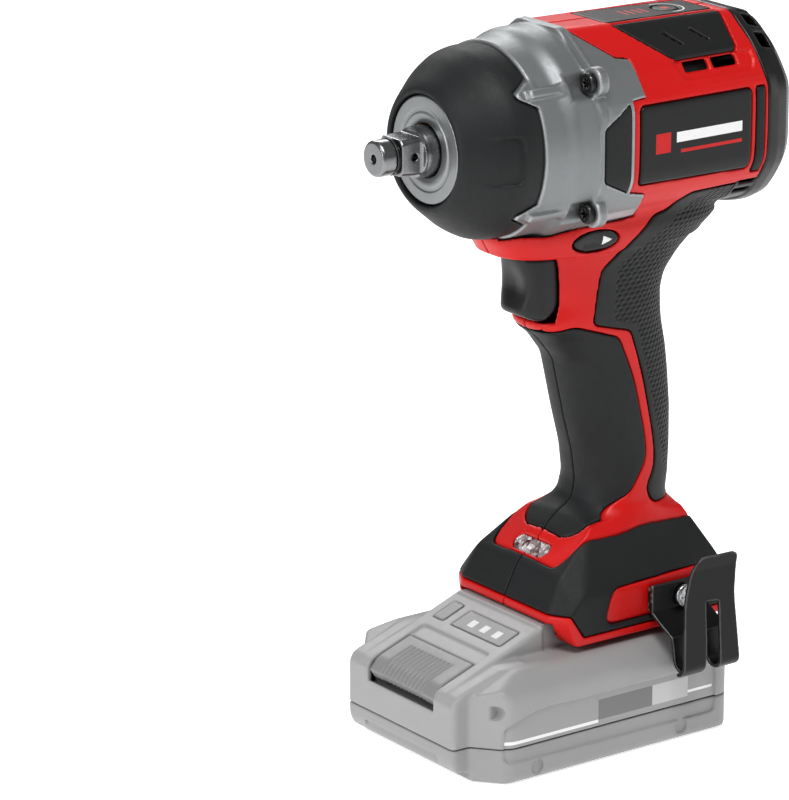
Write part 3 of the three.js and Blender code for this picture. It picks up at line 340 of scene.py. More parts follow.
# Height, front, widest place, back, half width, squareness of the front and of the back.
NECK = [
    [206, -24, 28, 69.5, 23.5, 2.8, 2.6], [192, -26, 28, 69.5, 24, 2.8, 2.6],
    [183, -27.3, 28, 69.5, 24.8, 2.8, 2.6], [176.2, -23.2, 26, 62.4, 22.2, 2.8, 2.4]]
GRIP = [
    [181, -6.8, 24, 68.4, 22, 2.8, 2.4], [175.8, -6.5, 24, 61.2, 21.4, 2.8, 2.4],
    [170, -5.5, 24, 54, 19.8, 2.8, 2.4], [163, -5.5, 23, 47.6, 18.9, 2.8, 2.4],
    [157, -5.6, 23, 45.8, 18.6, 2.8, 2.4], [150.5, -8, 22, 46.4, 18.2, 2.8, 2.4],
    [148, -8.5, 22, 46.7, 18, 2.6, 2.4], [144.5, -3.3, 23, 47.1, 17.8, 2.4, 2.4],
    [135, 4.4, 25, 49.2, 17.6, 2.4, 2.4], [126.6, 6.4, 27, 50.2, 17.5, 2.4, 2.4],
    [113, 9.6, 30, 51.2, 17.4, 2.4, 2.4], [99.6, 13.4, 32, 51, 17.3, 2.4, 2.4],
    [88.5, 15, 32, 50.5, 17.2, 2.4, 2.4], [81.5, 13.2, 31, 49.3, 17.6, 2.4, 2.4],
    [75, 5, 28, 51, 18.5, 2.4, 2.4], [62, -6, 26, 53, 22, 2.4, 2.4]]
FOOT = [
    [-16.5, 25, 47.6], [-16.3, 25, 50.5], [-10, 23.5, 62.7], [-4.5, 10, 67], [8, 18, 76.5],
    [49.5, 17.5, 77], [55, 29, 62.5], [58, 32, 56], [-12, 32.5, 50], [-9.5, 33.5, 40],
    [58, 33.5, 40], [-5, 32, 57]]


def barrel_field(g, drop, share=1.0, low=1.0, round_by=1.3):
    """The barrel's section, its flat top lowered by drop; low scales what is under the axis."""
    corner, top = TOP.corner
    points = [[corner, top], *BARREL, [0, BARREL[-1][1]]]
    across = g.off / share
    up = g.up / np.where(g.up < 0, low, share)
    field = up - (top - drop)
    for (y0, z0), (y1, z1) in zip(points, points[1:]):
        length = math.hypot(y1 - y0, z1 - z0)
        plane = ((across - y0) * (z0 - z1) + (up - z0) * (y1 - y0)) / length
        field = meet(field, plane, round_by)
    return field * share


def smooth_sections(sections):
    """Level sections every half millimetre, with the corners between them eased."""
    table = np.array(sections[::-1], float)
    heights = np.arange(table[0, 0], table[-1, 0] + 0.25, 0.5)
    columns = []
    for i in range(1, table.shape[1]):
        values = np.pad(np.interp(heights, table[:, 0], table[:, i]), 4, mode="edge")
        columns.append(np.convolve(values, np.ones(9) / 9, "valid"))
    return heights, columns


def stretched_oval(g, sections):
    """Level sections joined into one field, evened out along the height."""
    heights, columns = smooth_sections(sections)
    front, widest, back, half, front_power, back_power = [
        np.interp(g.z[0, 0, :], heights, column).astype(np.float32)[None, None, :]
        for column in columns]
    behind = g.x > widest
    power = np.where(behind, back_power, front_power)
    reach = np.where(behind, back - widest, widest - front)
    a = np.abs(g.x - widest) / reach
    b = g.off / half
    total = np.maximum((a ** power + b ** power), 1e-6)
    value = total ** (1 / power)
    slope = value ** (1 - power) * np.sqrt(
        (a ** (power - 1) / reach) ** 2 + (b ** (power - 1) / half) ** 2)
    return np.clip((value - 1) / np.maximum(slope, 1e-3), -12, 40)


def hull_field(g, corners, round_by=0.8):
    """A convex hull with softened edges."""
    mesh = bmesh.new()
    for x, y, z in corners:
        for side in (-1, 1):
            mesh.verts.new((x, side * y, z))
    bmesh.ops.convex_hull(mesh, input=mesh.verts)
    bmesh.ops.dissolve_limit(mesh, angle_limit=0.02, verts=mesh.verts, edges=mesh.edges)
    middle = Vector((22, 0, 58))
    field = None
    for face in mesh.faces:
        outward = face.normal.dot(face.calc_center_median() - middle) > 0
        normal = face.normal if outward else -face.normal
        at = face.verts[0].co
        plane = normal.x * (g.x - at.x) + normal.y * (g.y - at.y) + normal.z * (g.z - at.z)
        field = plane if field is None else meet(field, plane, round_by)
    mesh.free()
    return field


BODY = Grid((-30, -37.5, 38), (71, 0, 256), 0.5)


def drop_at(x):
    return TOP.drop * np.clip((x - BARREL_X[0]) / (BARREL_X[1] - BARREL_X[0]), 0, 1)


def barrel_surface(g):
    """The barrel's own surface, carried on past both of its ends."""
    return barrel_field(g, drop_at(g.x))


def outer_field(g):
    """The whole outer form of the housing, pads included."""
    barrel = meet(barrel_surface(g), between(g.x, *BARREL_X), 0.4)
    neck = meet(stretched_oval(g, NECK), between(g.z, 176.1, 206), 1.2)
    grip = meet(stretched_oval(g, GRIP), between(g.z, 62, 181), 0.6)
    foot = hull_field(g, FOOT)
    handle = join(neck, grip, 1.2)
    whole = join(join(barrel, handle, 3.0), foot, 6.0)
    return g.full(both(whole, g.x - BARREL_X[1]))


OUTER = outer_field(BODY)
LEFT_HALF = BODY.y + SEAM  # negative on the left of the seam

# ---- outlines of the outer pieces, from the side: x, z and corner radius ----
REAR_GRIP = [
    [60.9, 195], [41.5, 194.6, 2], [34, 188.3, 3], [29, 187.5, 2], [11, 169.5, 2.4],
    [8.8, 149.5, 2.4], [25, 145.2, 2.4], [31, 128.5, 8], [36.5, 104, 8], [37.5, 94, 6],
    [33.5, 86, 4], [36, 80, 4], [60, 80], [75, 160], [75, 183], [60.9, 183]]
FRONT_GRIP = [
    [-14, 146.8], [-3.5, 147.5, 3], [2, 149.6, 3], [20, 143.5, 2.4], [27.3, 127, 8],
    [32.8, 104, 8], [33.2, 96.5, 4], [26.6, 85.4, 5], [20.8, 82.6, 5], [15.5, 79, 3], [12.5, 75],
    [10, 67], [4.5, 67], [1.5, 67], [1.5, 73.2], [-14, 76]]
GRIP_END = [  # the front grip's rounded end on the slope, from above
    [1.5, -10, 2], [1.5, 10, 2], [4.1, 14, 2], [7, 15.6, 2], [12.5, 15.8, 2], [18, 17.5], [60, 40],
    [60, -40], [18, -17.5], [12.5, -15.8, 2], [7, -15.6, 2], [4.1, -14, 2]]
COVER_SIDE = [[-18, 51], [-18, 82], [60, 82], [60, 43], [-6, 43], [-11, 51]]
CLIP_RECESS = [[3.2, 45.2, 5], [7.5, 57.5, 4], [60, 59.2], [60, 45.2]]
TOP_OF_FOOT = [  # the red top and its tongue round the lamp, from above
    [-7.4, -17.6, 3], [-7.4, 17.6, 3], [-3.4, 19.4, 3], [18, 21, 6], [62, 19.4], [62, -19.4],
    [18, -21, 6], [-3.4, -19.4, 3]]
SIDE_LABEL = [[13.6, 229.5, 2], [62.6, 229.5, 2], [62.6, 201, 2], [13.6, 202, 2]]
SIDE_STRIP = [[64.6, 229.5, 1], [68.6, 229.5], [68.6, 199], [64.6, 199, 1]]
TOP_PANEL = [[18, 10, 2], [66, 9, 2], [66, -9, 2], [18, -10, 2]]
VENT_PANEL = [[18.4, -11.5, 2], [66, -11.5, 2], [62.5, -26.6, 2], [34, -26.6, 3]]
CAST_EDGE = [
    [-1, 260], [-1, 254], [11.6, 244.4], [16.4, 243.6], [16.8, 232.2], [10.8, 231.8],
    [10.8, 199.6], [18, 198], [20, 188.6], [2, 185.6], [-1, 176], [-40, 176], [-40, 260]]
INSERT = [[-1.9, 224, 1], [9.2, 231, 0.5], [9.2, 200.2, 0.5], [-1.9, 205.5, 1]]
VENT_LEDGE = [[33.5, 240.8], [36.2, 235.2, 1], [65.8, 235.2, 1], [67.5, 237.5, 1], [67.5, 240.8]]
SKIRT = [[61, 195.5, 1], [61, 183], [73, 183], [73, 195.5]]  # where the rear cap reaches forward


def from_side(points, g=BODY):
    return polygon(g.x, g.z, points)


def from_above(points, g=BODY):
    return polygon(g.x, g.y, points)


def seated(mask, depth, proud=0.0, edge=0.5):
    """A layer of the outer form inside an outline."""
    face = meet(OUTER - proud, mask + SEAM, edge)
    return both(face, -(OUTER + depth))


def seat(field, mask, depth):
    """The field with room for such a layer, its rim softly broken."""
    room = both(mask - SEAM, -(OUTER + depth + 0.2))
    return carve(field, room, 0.35)


def rear_mask():
    bridge = both(between(BODY.x, 60, 75), BODY.off - 7.6)
    return either(from_side(REAR_GRIP), both(bridge, between(BODY.z, 182, 195.5)))


def front_mask():
    end = either(from_above(GRIP_END), 80 - BODY.z)
    return both(from_side(FRONT_GRIP), end)


def cover_mask():
    clear = either(from_above(TOP_OF_FOOT) + 0 * BODY.z, clip_recess())
    return both(from_side(COVER_SIDE), -clear)


def clip_recess():
    return both(from_side(CLIP_RECESS), BODY.y + 25)


def top_mask(points):
    return both(from_above(points), (AXIS_Z + 15) - BODY.z)


def cast_room():
    """Where the gearcase and its side wings take the housing's place."""
    g = BODY
    core = turned(g, [[-52, 0], [-52, 21], [-37, 31], [-30, 33.6], [-25.9, 33.65], [-25.7, 34.6],
                      [-22.2, 35], [-13.5, 37.4], [0.4, 37.4], [0.4, 0]])
    wings = both(from_side(CAST_EDGE) - SEAM, -(OUTER + 2.7))
    wings = both(wings, barrel_surface(g) - 1.1)
    return either(core, both(wings, -1 - g.x))


TRIGGER = Sizes(half=11.0, top=175.0, bottom=151.2, back=-0.5, travel=6.0)
SELECTOR = Sizes(x=5.2, z=181.4, half=8.8, high=3.8, reach=23.6, travel=2.5)


def trigger_pocket(g):
    t = TRIGGER
    return block(g, (-30, t.back + t.travel + 1.5), (-t.half - 0.7, t.half + 0.7),
                 (t.bottom - 0.3, t.top + 0.5))


def battery_channel(g):
    head = block(g, (-40, 52.1), (-26.5, 26.5), (43.1, 47.8))
    stem = block(g, (-40, 52.1), (-23.5, 23.5), (30, 47.8))
    return either(head, stem)


def selector_oval(g):
    s = SELECTOR
    return (away((g.x - s.x) / s.half, (g.z - s.z) / s.high) - 1) * s.high


def selector_room(g):
    return both(selector_oval(g) - 0.35, -(OUTER + 4.2))


def end_room(g):
    """The barrel's open end, where the fan turns."""
    return both(barrel_surface(g) + WALL, 60 - g.x)


def housing_field():
    g = BODY
    shell = OUTER
    for mask, depth in [(rear_mask(), PAD), (front_mask(), PAD),
                        (from_side(SIDE_LABEL), PAD), (from_side(SIDE_STRIP), PAD),
                        (cover_mask(), PAD), (top_mask(TOP_PANEL), 1.2),
                        (top_mask(VENT_PANEL), 1.2), (from_side(VENT_LEDGE), 0.5),
                        (from_side(SKIRT), WALL + 0.4)]:
        shell = seat(shell, mask, depth)
    shell = both(shell, -(OUTER + WALL + 0.6 * (BODY.z < 62)), -end_room(g))
    for room in (cast_room(), trigger_pocket(g), battery_channel(g), selector_room(g),
                 lamp_room()):
        shell = carve(shell, room, 0.35)
    holes = [block(g, x, (-36, -22), (236.8, 239.8), 0.8) for x in ((38, 48.5), (50.5, 61))]
    for hole in holes:
        shell = carve(shell, hole, 0.8)
    shell = carve(shell, both(from_side(CLIP_RECESS), g.y + 32), 0.35)
    return meet(shell, LEFT_HALF, 0.35)


LAMP = [
    [-6.3, -7.4, 1], [-6.3, 7.4, 1], [-3.8, 9.6, 1], [-1.4, 8, 1], [-1.4, -8, 1], [-3.8, -9.6, 1]]


def lamp_room():
    return both(from_above(LAMP) - SEAM, 58 - BODY.z)


SCREW_SPOTS = [(22, 184), (24, 134), (28, 104), (43, 69.3)]


def screw_rooms(g):
    """Where the housing screws enter, on the mirrored half."""
    return either(*(rod_y(g, x, z, -60, -9.7, 3.4) for x, z in SCREW_SPOTS))


# ---- gearcase and nose ----
SCREWS = [(30.6, 22.6), (30.6, -22.6), (-30.6, 22.6), (-30.6, -22.6)]  # y, height over the axis
BOSS_R = 5.2
SCREW_HEAD = Sizes(r=3.5, high=2.2)
NOTCH = [  # where a rib reaches into the boot: x and height over or under the axis
    [-32.5, 20.2, 0.5], [-32.5, 21.6, 0.5], [-26.5, 24.5, 0.6], [-24, 24.6], [-24, 16.8],
    [-25.8, 16.8, 0.6]]
RIB_ANGLES = (53, -53, 127, -127)
FLANGE_X = -4.0
CAST_BODY = [
    [-50.2, 0], [-50.2, 18.2], [-46.5, 20, 2], [-37, 29.4, 3], [-31, 31.4, 2], [-25.5, 31.6],
    [-25.5, 34.2, 0.6], [-17, 34.8, 2], [-13.5, 37, 2], [-4.5, 37], [-4.5, 0]]
BOOT = [
    [-51.6, 19.2, 0.6], [-51.6, 21, 1], [-49.5, 23.2, 1.5], [-41, 30, 3], [-36, 32.6, 1.2],
    [-32, 33.4, 1.5], [-25.8, 33.4, 0.8], [-25.8, 31.9], [-31, 31.7], [-37, 29.7], [-46.5, 20.3],
    [-49.5, 19.2]]
NOSE = Grid((-52, -38, 178), (24.5, 38, 256), 0.5)


def gearcase_field():
    g = NOSE
    outer = barrel_surface(g) - 0.7
    flange = meet(outer, between(g.x, FLANGE_X, 0), 0.8)
    for y, z in SCREWS:
        flange = join(flange, rod(g, FLANGE_X, 0, BOSS_R, y, AXIS_Z + z, 0.6), 1.0)
    case = turned(g, CAST_BODY)
    case = join(case, both(rod(g, -33, -22, 34.2, 0, AXIS_Z, 0.6), notch(g)), 0.6)
    for angle in RIB_ANGLES:
        case = join(case, spun_block(g, angle, (-28.5, FLANGE_X + 0.2), 1.5, 28, 36.4, 0.9), 1.6)
    for y, z in SCREWS:
        case = carve(case, rod(g, -12, FLANGE_X, SCREW_HEAD.r + 0.7, y, AXIS_Z + z), 2.4)
    wings = meet(outer, -(barrel_surface(g) + 2.2), 0.4)
    wings = meet(wings, from_side(CAST_EDGE, g), 0.7)
    wings = both(wings, between(g.x, -0.8, 24))
    case = join(join(case, flange, 1.5), wings, 0.8)
    bore = turned(g, [[-60, 0], [-60, 13.3], [-38.2, 13.3], [-38.2, 21], [-34, 25.8], [-30, 27.6],
                      [5, 27.6], [5, 0]])
    case = carve(case, bore, 0.3)
    boot_room = turned(g, [[x, r] for x, r, *_ in BOOT]) - 0.15
    case = carve(case, both(boot_room, -notch(g)), 0.3)
    inserts = both(from_side(INSERT, g) - SEAM, -(barrel_surface(g) + 1.1))
    case = carve(case, inserts, 0.3)
    for y, z in SCREWS:
        case = carve(case, rod(g, -8, -1.2, 2.5, y, AXIS_Z + z), 0.2)
    return case


def insert_field():
    g = NOSE
    layer = both(barrel_surface(g) - 0.6, -(barrel_surface(g) + 0.7))
    return both(meet(layer, from_side(INSERT, g) + 0.1, 0.4), g.y)


def notch(g):
    return polygon(g.x, np.abs(g.up), NOTCH)


def boot_field():
    g = NOSE
    boot = carve(turned(g, BOOT), notch(g) - 0.3, 0.9)
    # A shallow pocket on the operator's side, which runs out towards the front.
    turn = np.arctan2(g.up, -g.y) * 32
    pocket = meet(np.abs(turn) - 8.0 + 0.12 * (g.x + 33), g.x + 32.8, 2.5)
    x, outer, *_ = zip(*([*corner, 0] for corner in BOOT[2:7]))
    floor = np.interp(g.x, x, outer) - 1.3 * np.clip((g.x + 46) / 9, 0, 1)
    sunk = floor - away(g.y, g.up)
    return carve(boot, both(pocket, sunk, g.y), 0.3)


def lathe_piece(name, profile):
    """A closed [x, radius] profile turned in exact steps, its doubled points joined."""
    sides = 96
    line = rounded(profile)
    points = []
    for x, r in line:
        for k in range(sides):
            turn = 2 * math.pi * k / sides
            points.append((x * MM, r * math.cos(turn) * MM, (AXIS_Z + r * math.sin(turn)) * MM))
    faces = []
    for i in range(len(line)):
        j = (i + 1) % len(line)
        for k in range(sides):
            n = (k + 1) % sides
            faces.append((i * sides + k, i * sides + n, j * sides + n, j * sides + k))
    piece = new_piece(name, np.array(points), np.array(faces))
    work = bmesh.new()
    work.from_mesh(piece.data)
    bmesh.ops.remove_doubles(work, verts=work.verts, dist=1e-6)
    bmesh.ops.dissolve_degenerate(work, edges=work.edges, dist=1e-7)
    bmesh.ops.recalc_face_normals(work, faces=work.faces)
    work.to_mesh(piece.data)
    work.free()
    piece.data.shade_smooth()
    return piece


FRONT_PLATE = [
    [-50.85, 9.6], [-50.85, 12.6, 0.2], [-50.5, 13.1, 0.2], [-50.5, 14.1, 0.2],
    [-50.85, 14.6, 0.2], [-50.85, 18.2, 0.3], [-50.5, 18.6], [-50.3, 18.6], [-50.3, 9.6]]
NOSE_TIP = -72.2
HALF_SQUARE = 6.35


def anvil_field(g):
    shaft = turned(g, [
        [NOSE_TIP, 0], [NOSE_TIP, 5.7, 0.5], [-71.3, 6.3, 0.4], [-66.7, 6.3, 0.2], [-66.7, 5.1],
        [-64.8, 5.1], [-64.8, 7.9, 0.5], [-55.5, 8.6], [-54, 9], [-36, 9], [-36, 0]])
    square = meet(g.off - HALF_SQUARE, np.abs(g.up) - HALF_SQUARE, 0.9)
    square = both(square, between(g.x, -80, -55.6))
    round_part = both(away(g.y, g.up) - 9, between(g.x, -56.4, -30))
    field = meet(shaft, join(square, round_part, 1.4), 0.3)
    field = carve(field, rod(g, -80, -69.5, 1.5, 0, AXIS_Z), 0.4)
    return carve(field, rod_y(g, -59.5, AXIS_Z, -12, 12, 1.3), 0.35)


# ---- trigger, selector, lamp and top ----
def trigger_field(g):
    t = TRIGGER
    side = polygon(g.x, g.z, [
        [t.back, t.top, 2], [t.back, t.bottom + 4.5, 7], [-8, t.bottom, 4],
        [-15.3, 154.4, 2], [-12, 164, 9], [-15, 173.2, 2.4], [-14.2, t.top]])
    # A shallow channel down the front, for the finger.
    channel = away(g.y / 7.0, (g.z - 164) / 11) - 1
    side = side + 0.8 * np.clip(-channel, 0, 1) * (g.x < -6)
    above = polygon(g.x, g.y, [
        [t.back, -t.half], [t.back, t.half], [-9, t.half, 3], [-13.8, 6.5, 3],
        [-15.4, 2.5, 3], [-15.4, -2.5, 3], [-13.8, -6.5, 3], [-9, -t.half, 3]])
    return meet(side, above, 2.2)


def selector_field(g):
    s = SELECTOR
    outer = outer_field(g)
    dish = 0.7 * np.exp(-((g.x - s.x) / 4.5) ** 2)
    ends = meet(selector_oval(g), outer + dish - 0.1, 0.7)
    ends = both(ends, -(outer + 3.6), g.off - s.reach)
    bar = block(g, (s.x - 5, s.x + 5), (-s.reach + 1, s.reach - 1),
                (s.z - 3, s.z + 0.1))
    return either(ends, bar)


CAP_FRONT = 70.3
CAP = [  # x, the share of the barrel's width and top, and of its lower part
    [CAP_FRONT, 1, 1.03], [75, 0.985, 1.05], [80, 0.94, 1.03], [84.5, 0.83, 0.94],
    [87.2, 0.66, 0.76]]
CAP_WINDOWS = (-42, -26, 26, 42)  # degrees from the top
LOUVRES = (119, 127, 135, -119, -127, -135)


def cap_field(g):
    """The rear cap: the barrel's section, drawn in towards the back, with slots."""
    x, *columns = zip(*CAP)
    share, low = [np.interp(g.x, x, column).astype(np.float32) for column in columns]
    outer = barrel_field(g, TOP.drop, share, low, 2.4)
    cap = meet(outer, between(g.x, CAP_FRONT, 87.1), 1.0)
    room = both(outer + WALL + 0.4, between(g.x, 60, 84.4))
    cap = carve(cap, room, 0.3)
    barrel = barrel_surface(g)
    skirt = both(meet(barrel, from_side(SKIRT, g), 0.4), -(barrel + PAD))
    skirt = both(skirt, 8 - g.off, g.x - 71.4)
    cap = either(cap, skirt)
    for angle in CAP_WINDOWS:
        slot = spun_block(g, angle, (74.5, 80.5), 3.2, 20, 48, 1.2)
        rim = spun_block(g, angle, (73.5, 81.5), 3.9, 20, 48, 1.2)
        cap = carve(cap, both(rim, -(outer + 0.5)), 0.4)
        cap = carve(cap, slot, 0.5)
    for angle in LOUVRES:
        cap = carve(cap, spun_block(g, angle, (62.5, 69.5), 1.3, 20, 48, 0.5), 0.4)
    return cap


# ---- belt clip ----
CLIP = Sizes(wall=1.3, plate=-34.6, leg=-44.6, tongue=-52.4, low=27.5, bend=3.9)
TONGUE = [
    [28.2, 70.8, 3], [45.6, 70.4, 3], [44.7, 55, 4], [48.4, 26], [39.4, 26], [37.8, 53.4, 0.8],
    [32, 54.2, 0.8], [32.7, 40, 2], [32.8, 26], [22.9, 26], [22.6, 55, 4], [24.8, 65, 4]]
LEG = [
    [22.4, 57], [47, 57], [47, 47, 1], [47.6, 40], [48.4, 26], [39.4, 26], [38.6, 44, 2],
    [33.2, 44, 2], [32.8, 26], [25.4, 26], [24.2, 36, 2], [22.4, 45, 2]]


def clip_path():
    c = CLIP
    middle = (c.leg + c.tongue) / 2
    path = [[c.plate, 56], [c.plate, 46.5], [c.leg, 39.8],
            [c.leg, c.low + c.bend]]
    for k in range(1, 12):
        turn = math.pi * k / 12
        path.append([middle + c.bend * math.cos(turn),
                     c.low + c.bend - c.bend * math.sin(turn)])
    path += [[c.tongue, c.low + c.bend], [c.tongue, 66], [c.tongue - 0.8, 70.8]]
    return path


def clip_field(g):
    """Sheet metal of even thickness along a bent path, cut to two outlines."""
    path = clip_path()
    distance = np.full(np.broadcast(g.y, g.z).shape, 1e9, np.float32)
    for (a0, b0), (a1, b1) in zip(path, path[1:]):
        da, db = a1 - a0, b1 - b0
        t = np.clip(((g.y - a0) * da + (g.z - b0) * db) / (da * da + db * db), 0, 1)
        distance = either(distance, np.hypot(g.y - a0 - t * da, g.z - b0 - t * db))
    strip = distance - CLIP.wall / 2
    middle = (CLIP.leg + CLIP.tongue) / 2
    outer = both(from_side(TONGUE, g), g.y - middle)
    inner = both(from_side(LEG, g), middle - g.y)
    tab = block(g, (22.4, 23.6), (-35.2, -32.4), (46.8, 55.6), 0.3)
    clip = either(meet(strip, either(outer, inner), 0.3), tab)
    return carve(clip, rod_y(g, 36, 51, -40, -30, 2.5), 0.2)


# ---- battery ----
PACK = Sizes(front=-54.0, rear=54.0, half=42.7, seam=12.6, shoulder=38.0)
RAIL = Sizes(half=26.0, top=47.2, front=-17.0, head=-9.5, rear=51.5)
SIDE_PANEL = [[-46.5, 7.6, 3], [46, 7.2, 3], [46, 25, 3], [-34, 25.6, 5], [-46.5, 20.8, 3]]
SLOPE = [[-61.2, 28], [-59.5, 31], [-55.5, 32.6], [-17, 47.0]]
KEY = Sizes(front=-60.6, rear=-43.0, half=18.6, floor=21.9, travel=2.6)
BATTERY_SCREWS = [(-48.4, 25.8, 36.4), (-33, 4.4, 41.3), (30.8, 4.8, 41.3)]  # x, z and floor
GAUGE_LENS = [[-32.3, -18.9, 0.8], [-23.6, -18.9, 0.8], [-23.6, 9.2, 0.8], [-32.3, 9.2, 0.8]]
GAUGE_KEY = [[-32.2, 13.9, 0.8], [-22.8, 13.9, 0.8], [-22.8, 19.7, 0.8], [-32.2, 19.7, 0.8]]
KEY_LEDGE = [[-43, -19], [-36.8, -19, 1.5], [-36.8, 19, 1.5], [-43, 19]]


def slope_depth(g):
    """Distance under the sloping deck, negative below it."""
    (x0, z0), (x1, z1) = SLOPE[2], SLOPE[3]
    length = math.hypot(x1 - x0, z1 - z0)
    return ((g.z - z0) * (x1 - x0) - (g.x - x0) * (z1 - z0)) / length


def battery_form(g):
    p = PACK
    plan = polygon(g.x, g.off, [
        [p.front, -5], [p.rear, -5], [p.rear, p.half, 9],
        [p.front + 9.5, p.half, 4], [p.front, 31.5, 1]])
    section = polygon(g.off, g.z, [
        [-5, 0], [p.half - 2, 0, 1.5], [p.half, 2, 1.5], [p.half, p.shoulder - 7, 3],
        [p.half - 9, p.shoulder, 3], [-5, p.shoulder]])
    low = polygon(g.x, g.z, [[-56, -5], [-56, 30.2], [-36, 38.2, 3], [80, 38.2], [80, -5]])
    trunk = meet(meet(plan, section, 1.6), low, 1.2)
    nose_side = polygon(g.x, g.z, [
        [-61.2, 8, 2], [-59, 3.5, 2], [-40, 3.5], [-30, 20], [-30, 38], [-40, 37.5],
        [-55.5, 32.6, 2], [-59.5, 31, 1.5], [-61.2, 28, 1]])
    nose = meet(nose_side, g.off - 31, 2.0)
    deck_side = polygon(g.x, g.z, [*SLOPE, [-17, 30], [-55, 20]])
    deck = meet(deck_side, g.off - 24.5, 1.4)
    stem = RAIL.half - 3
    rail_head = block(g, (RAIL.head, RAIL.rear), (-RAIL.half, RAIL.half),
                      (43.7, RAIL.top))
    rail_stem = block(g, (RAIL.front - 2, RAIL.rear), (-stem, stem), (30, RAIL.top))
    form = join(trunk, nose, 1.5)
    form = join(form, deck, 1.0)
    return join(either(form, rail_head), rail_stem, 0.5)


def battery_shell(g):
    """The whole pack's wall with its recesses; the two cases are cut from it."""
    form = battery_form(g)
    shell = both(form, -(form + 2.2))
    for x, z, floor in BATTERY_SCREWS:
        post = away(g.x - x, g.z - z) - 4.2
        shell = either(shell, both(post, floor - 1.6 - g.off, form))
    recess = block(g, (-80, KEY.rear + 0.6), (-KEY.half - 0.6, KEY.half + 0.6),
                   (KEY.floor, 60), 0.6)
    lining = block(g, (-57, KEY.rear + 2), (-KEY.half - 2.4, KEY.half + 2.4),
                   (KEY.floor - 1.4, 60))
    shell = either(shell, both(lining, form))
    lip = both(g.x + 60.0, g.z - 23.7)
    shell = carve(shell, both(recess, -lip), 0.5)
    side_panel = both(from_side(SIDE_PANEL, g), -(form + 0.9))
    shell = carve(shell, both(side_panel, 40 - g.off), 0.25)
    shell = carve(shell, both(g.off - 21, g.z - 8.4, g.x + 59.8), 0.4)
    depth = slope_depth(g)
    for points, deep in ((GAUGE_LENS, 1.5), (GAUGE_KEY, 1.5), (KEY_LEDGE, 0.8)):
        sunk = both(from_above(points, g) - SEAM, -(depth + deep))
        shell = carve(shell, both(sunk, 20 - g.z), 0.3)
    for x, z, floor in BATTERY_SCREWS:
        for side in (-1, 1):
            shell = carve(shell, rod_y(g, x, z, *sorted((side * 50, side * floor)), 2.6), 0.3)
    return shell


def deck_piece_field(g, points, depth, proud=0.0):
    layer = both(slope_depth(g) - proud, -(slope_depth(g) + depth))
    return meet(from_above(points, g), layer, 0.3)


def release_field(g):
    k = KEY
    side = polygon(g.x, g.z, [
        [k.front + 1.6, 25], [k.front, 27.6], [k.front, 28.4, 0.6],
        [k.front + 3, 32, 2], [k.rear, 37.2, 1],
        [k.rear, k.floor + k.travel + 0.5], [k.front + 2, 25]])
    field = meet(side, g.off - k.half, 0.8)
    # Grip ribs across the front half of the key.
    wave = np.cos(g.y * 2 * math.pi / 2.2)
    ribbed = both(between(g.x, k.front - 2, k.rear - 4), g.off - 12.5)
    return field + 0.6 * np.clip(-ribbed, 0, 1) * (0.5 - 0.5 * wave)


# ---- materials ----
def feed(tree, place, value):
    """Links a socket to an input, or sets the input to a constant."""
    if isinstance(value, bpy.types.NodeSocket):
        tree.links.new(value, place)
    else:
        place.default_value = value


def new_node(tree, kind, operation=None, **values):
    """A shader node with its inputs fed; an underscore stands for a space in their names."""
    node = tree.nodes.new(f"ShaderNode{kind}")
    if operation:
        node.operation = operation
    for name, value in values.items():
        feed(tree, node.inputs[name.replace("_", " ")], value)
    return node


def calc(tree, operation, first, second=0.0):
    node = new_node(tree, "Math", operation)
    feed(tree, node.inputs[0], first)
    feed(tree, node.inputs[1], second)
    return node.outputs["Value"]


def mixed(tree, share, first, second):
    """A colour between two others."""
    mix = tree.nodes.new("ShaderNodeMix")
    mix.data_type = "RGBA"
    for place, value in ((0, share), (6, first), (7, second)):
        feed(tree, mix.inputs[place], value)
    return mix.outputs[2]


def noise(tree, where, scale, detail):
    return new_node(tree, "TexNoise", Scale=scale, Detail=detail, Vector=where).outputs["Fac"]


def bumped(tree, height, strength, distance, **before):
    bump = new_node(tree, "Bump", Strength=strength, Distance=distance, Height=height, **before)
    return bump.outputs["Normal"]


def place_node(tree):
    return new_node(tree, "TexCoord").outputs["Object"]


def axes_of(tree, where):
    return new_node(tree, "SeparateXYZ", Vector=where).outputs


TONE_SCALE, GLOSS_SCALE, FACET_SCALE = 60.0, 350.0, 520.0  # features to the metre
BUMP_DEPTH, FACET_DEPTH = 0.0002, 0.0008


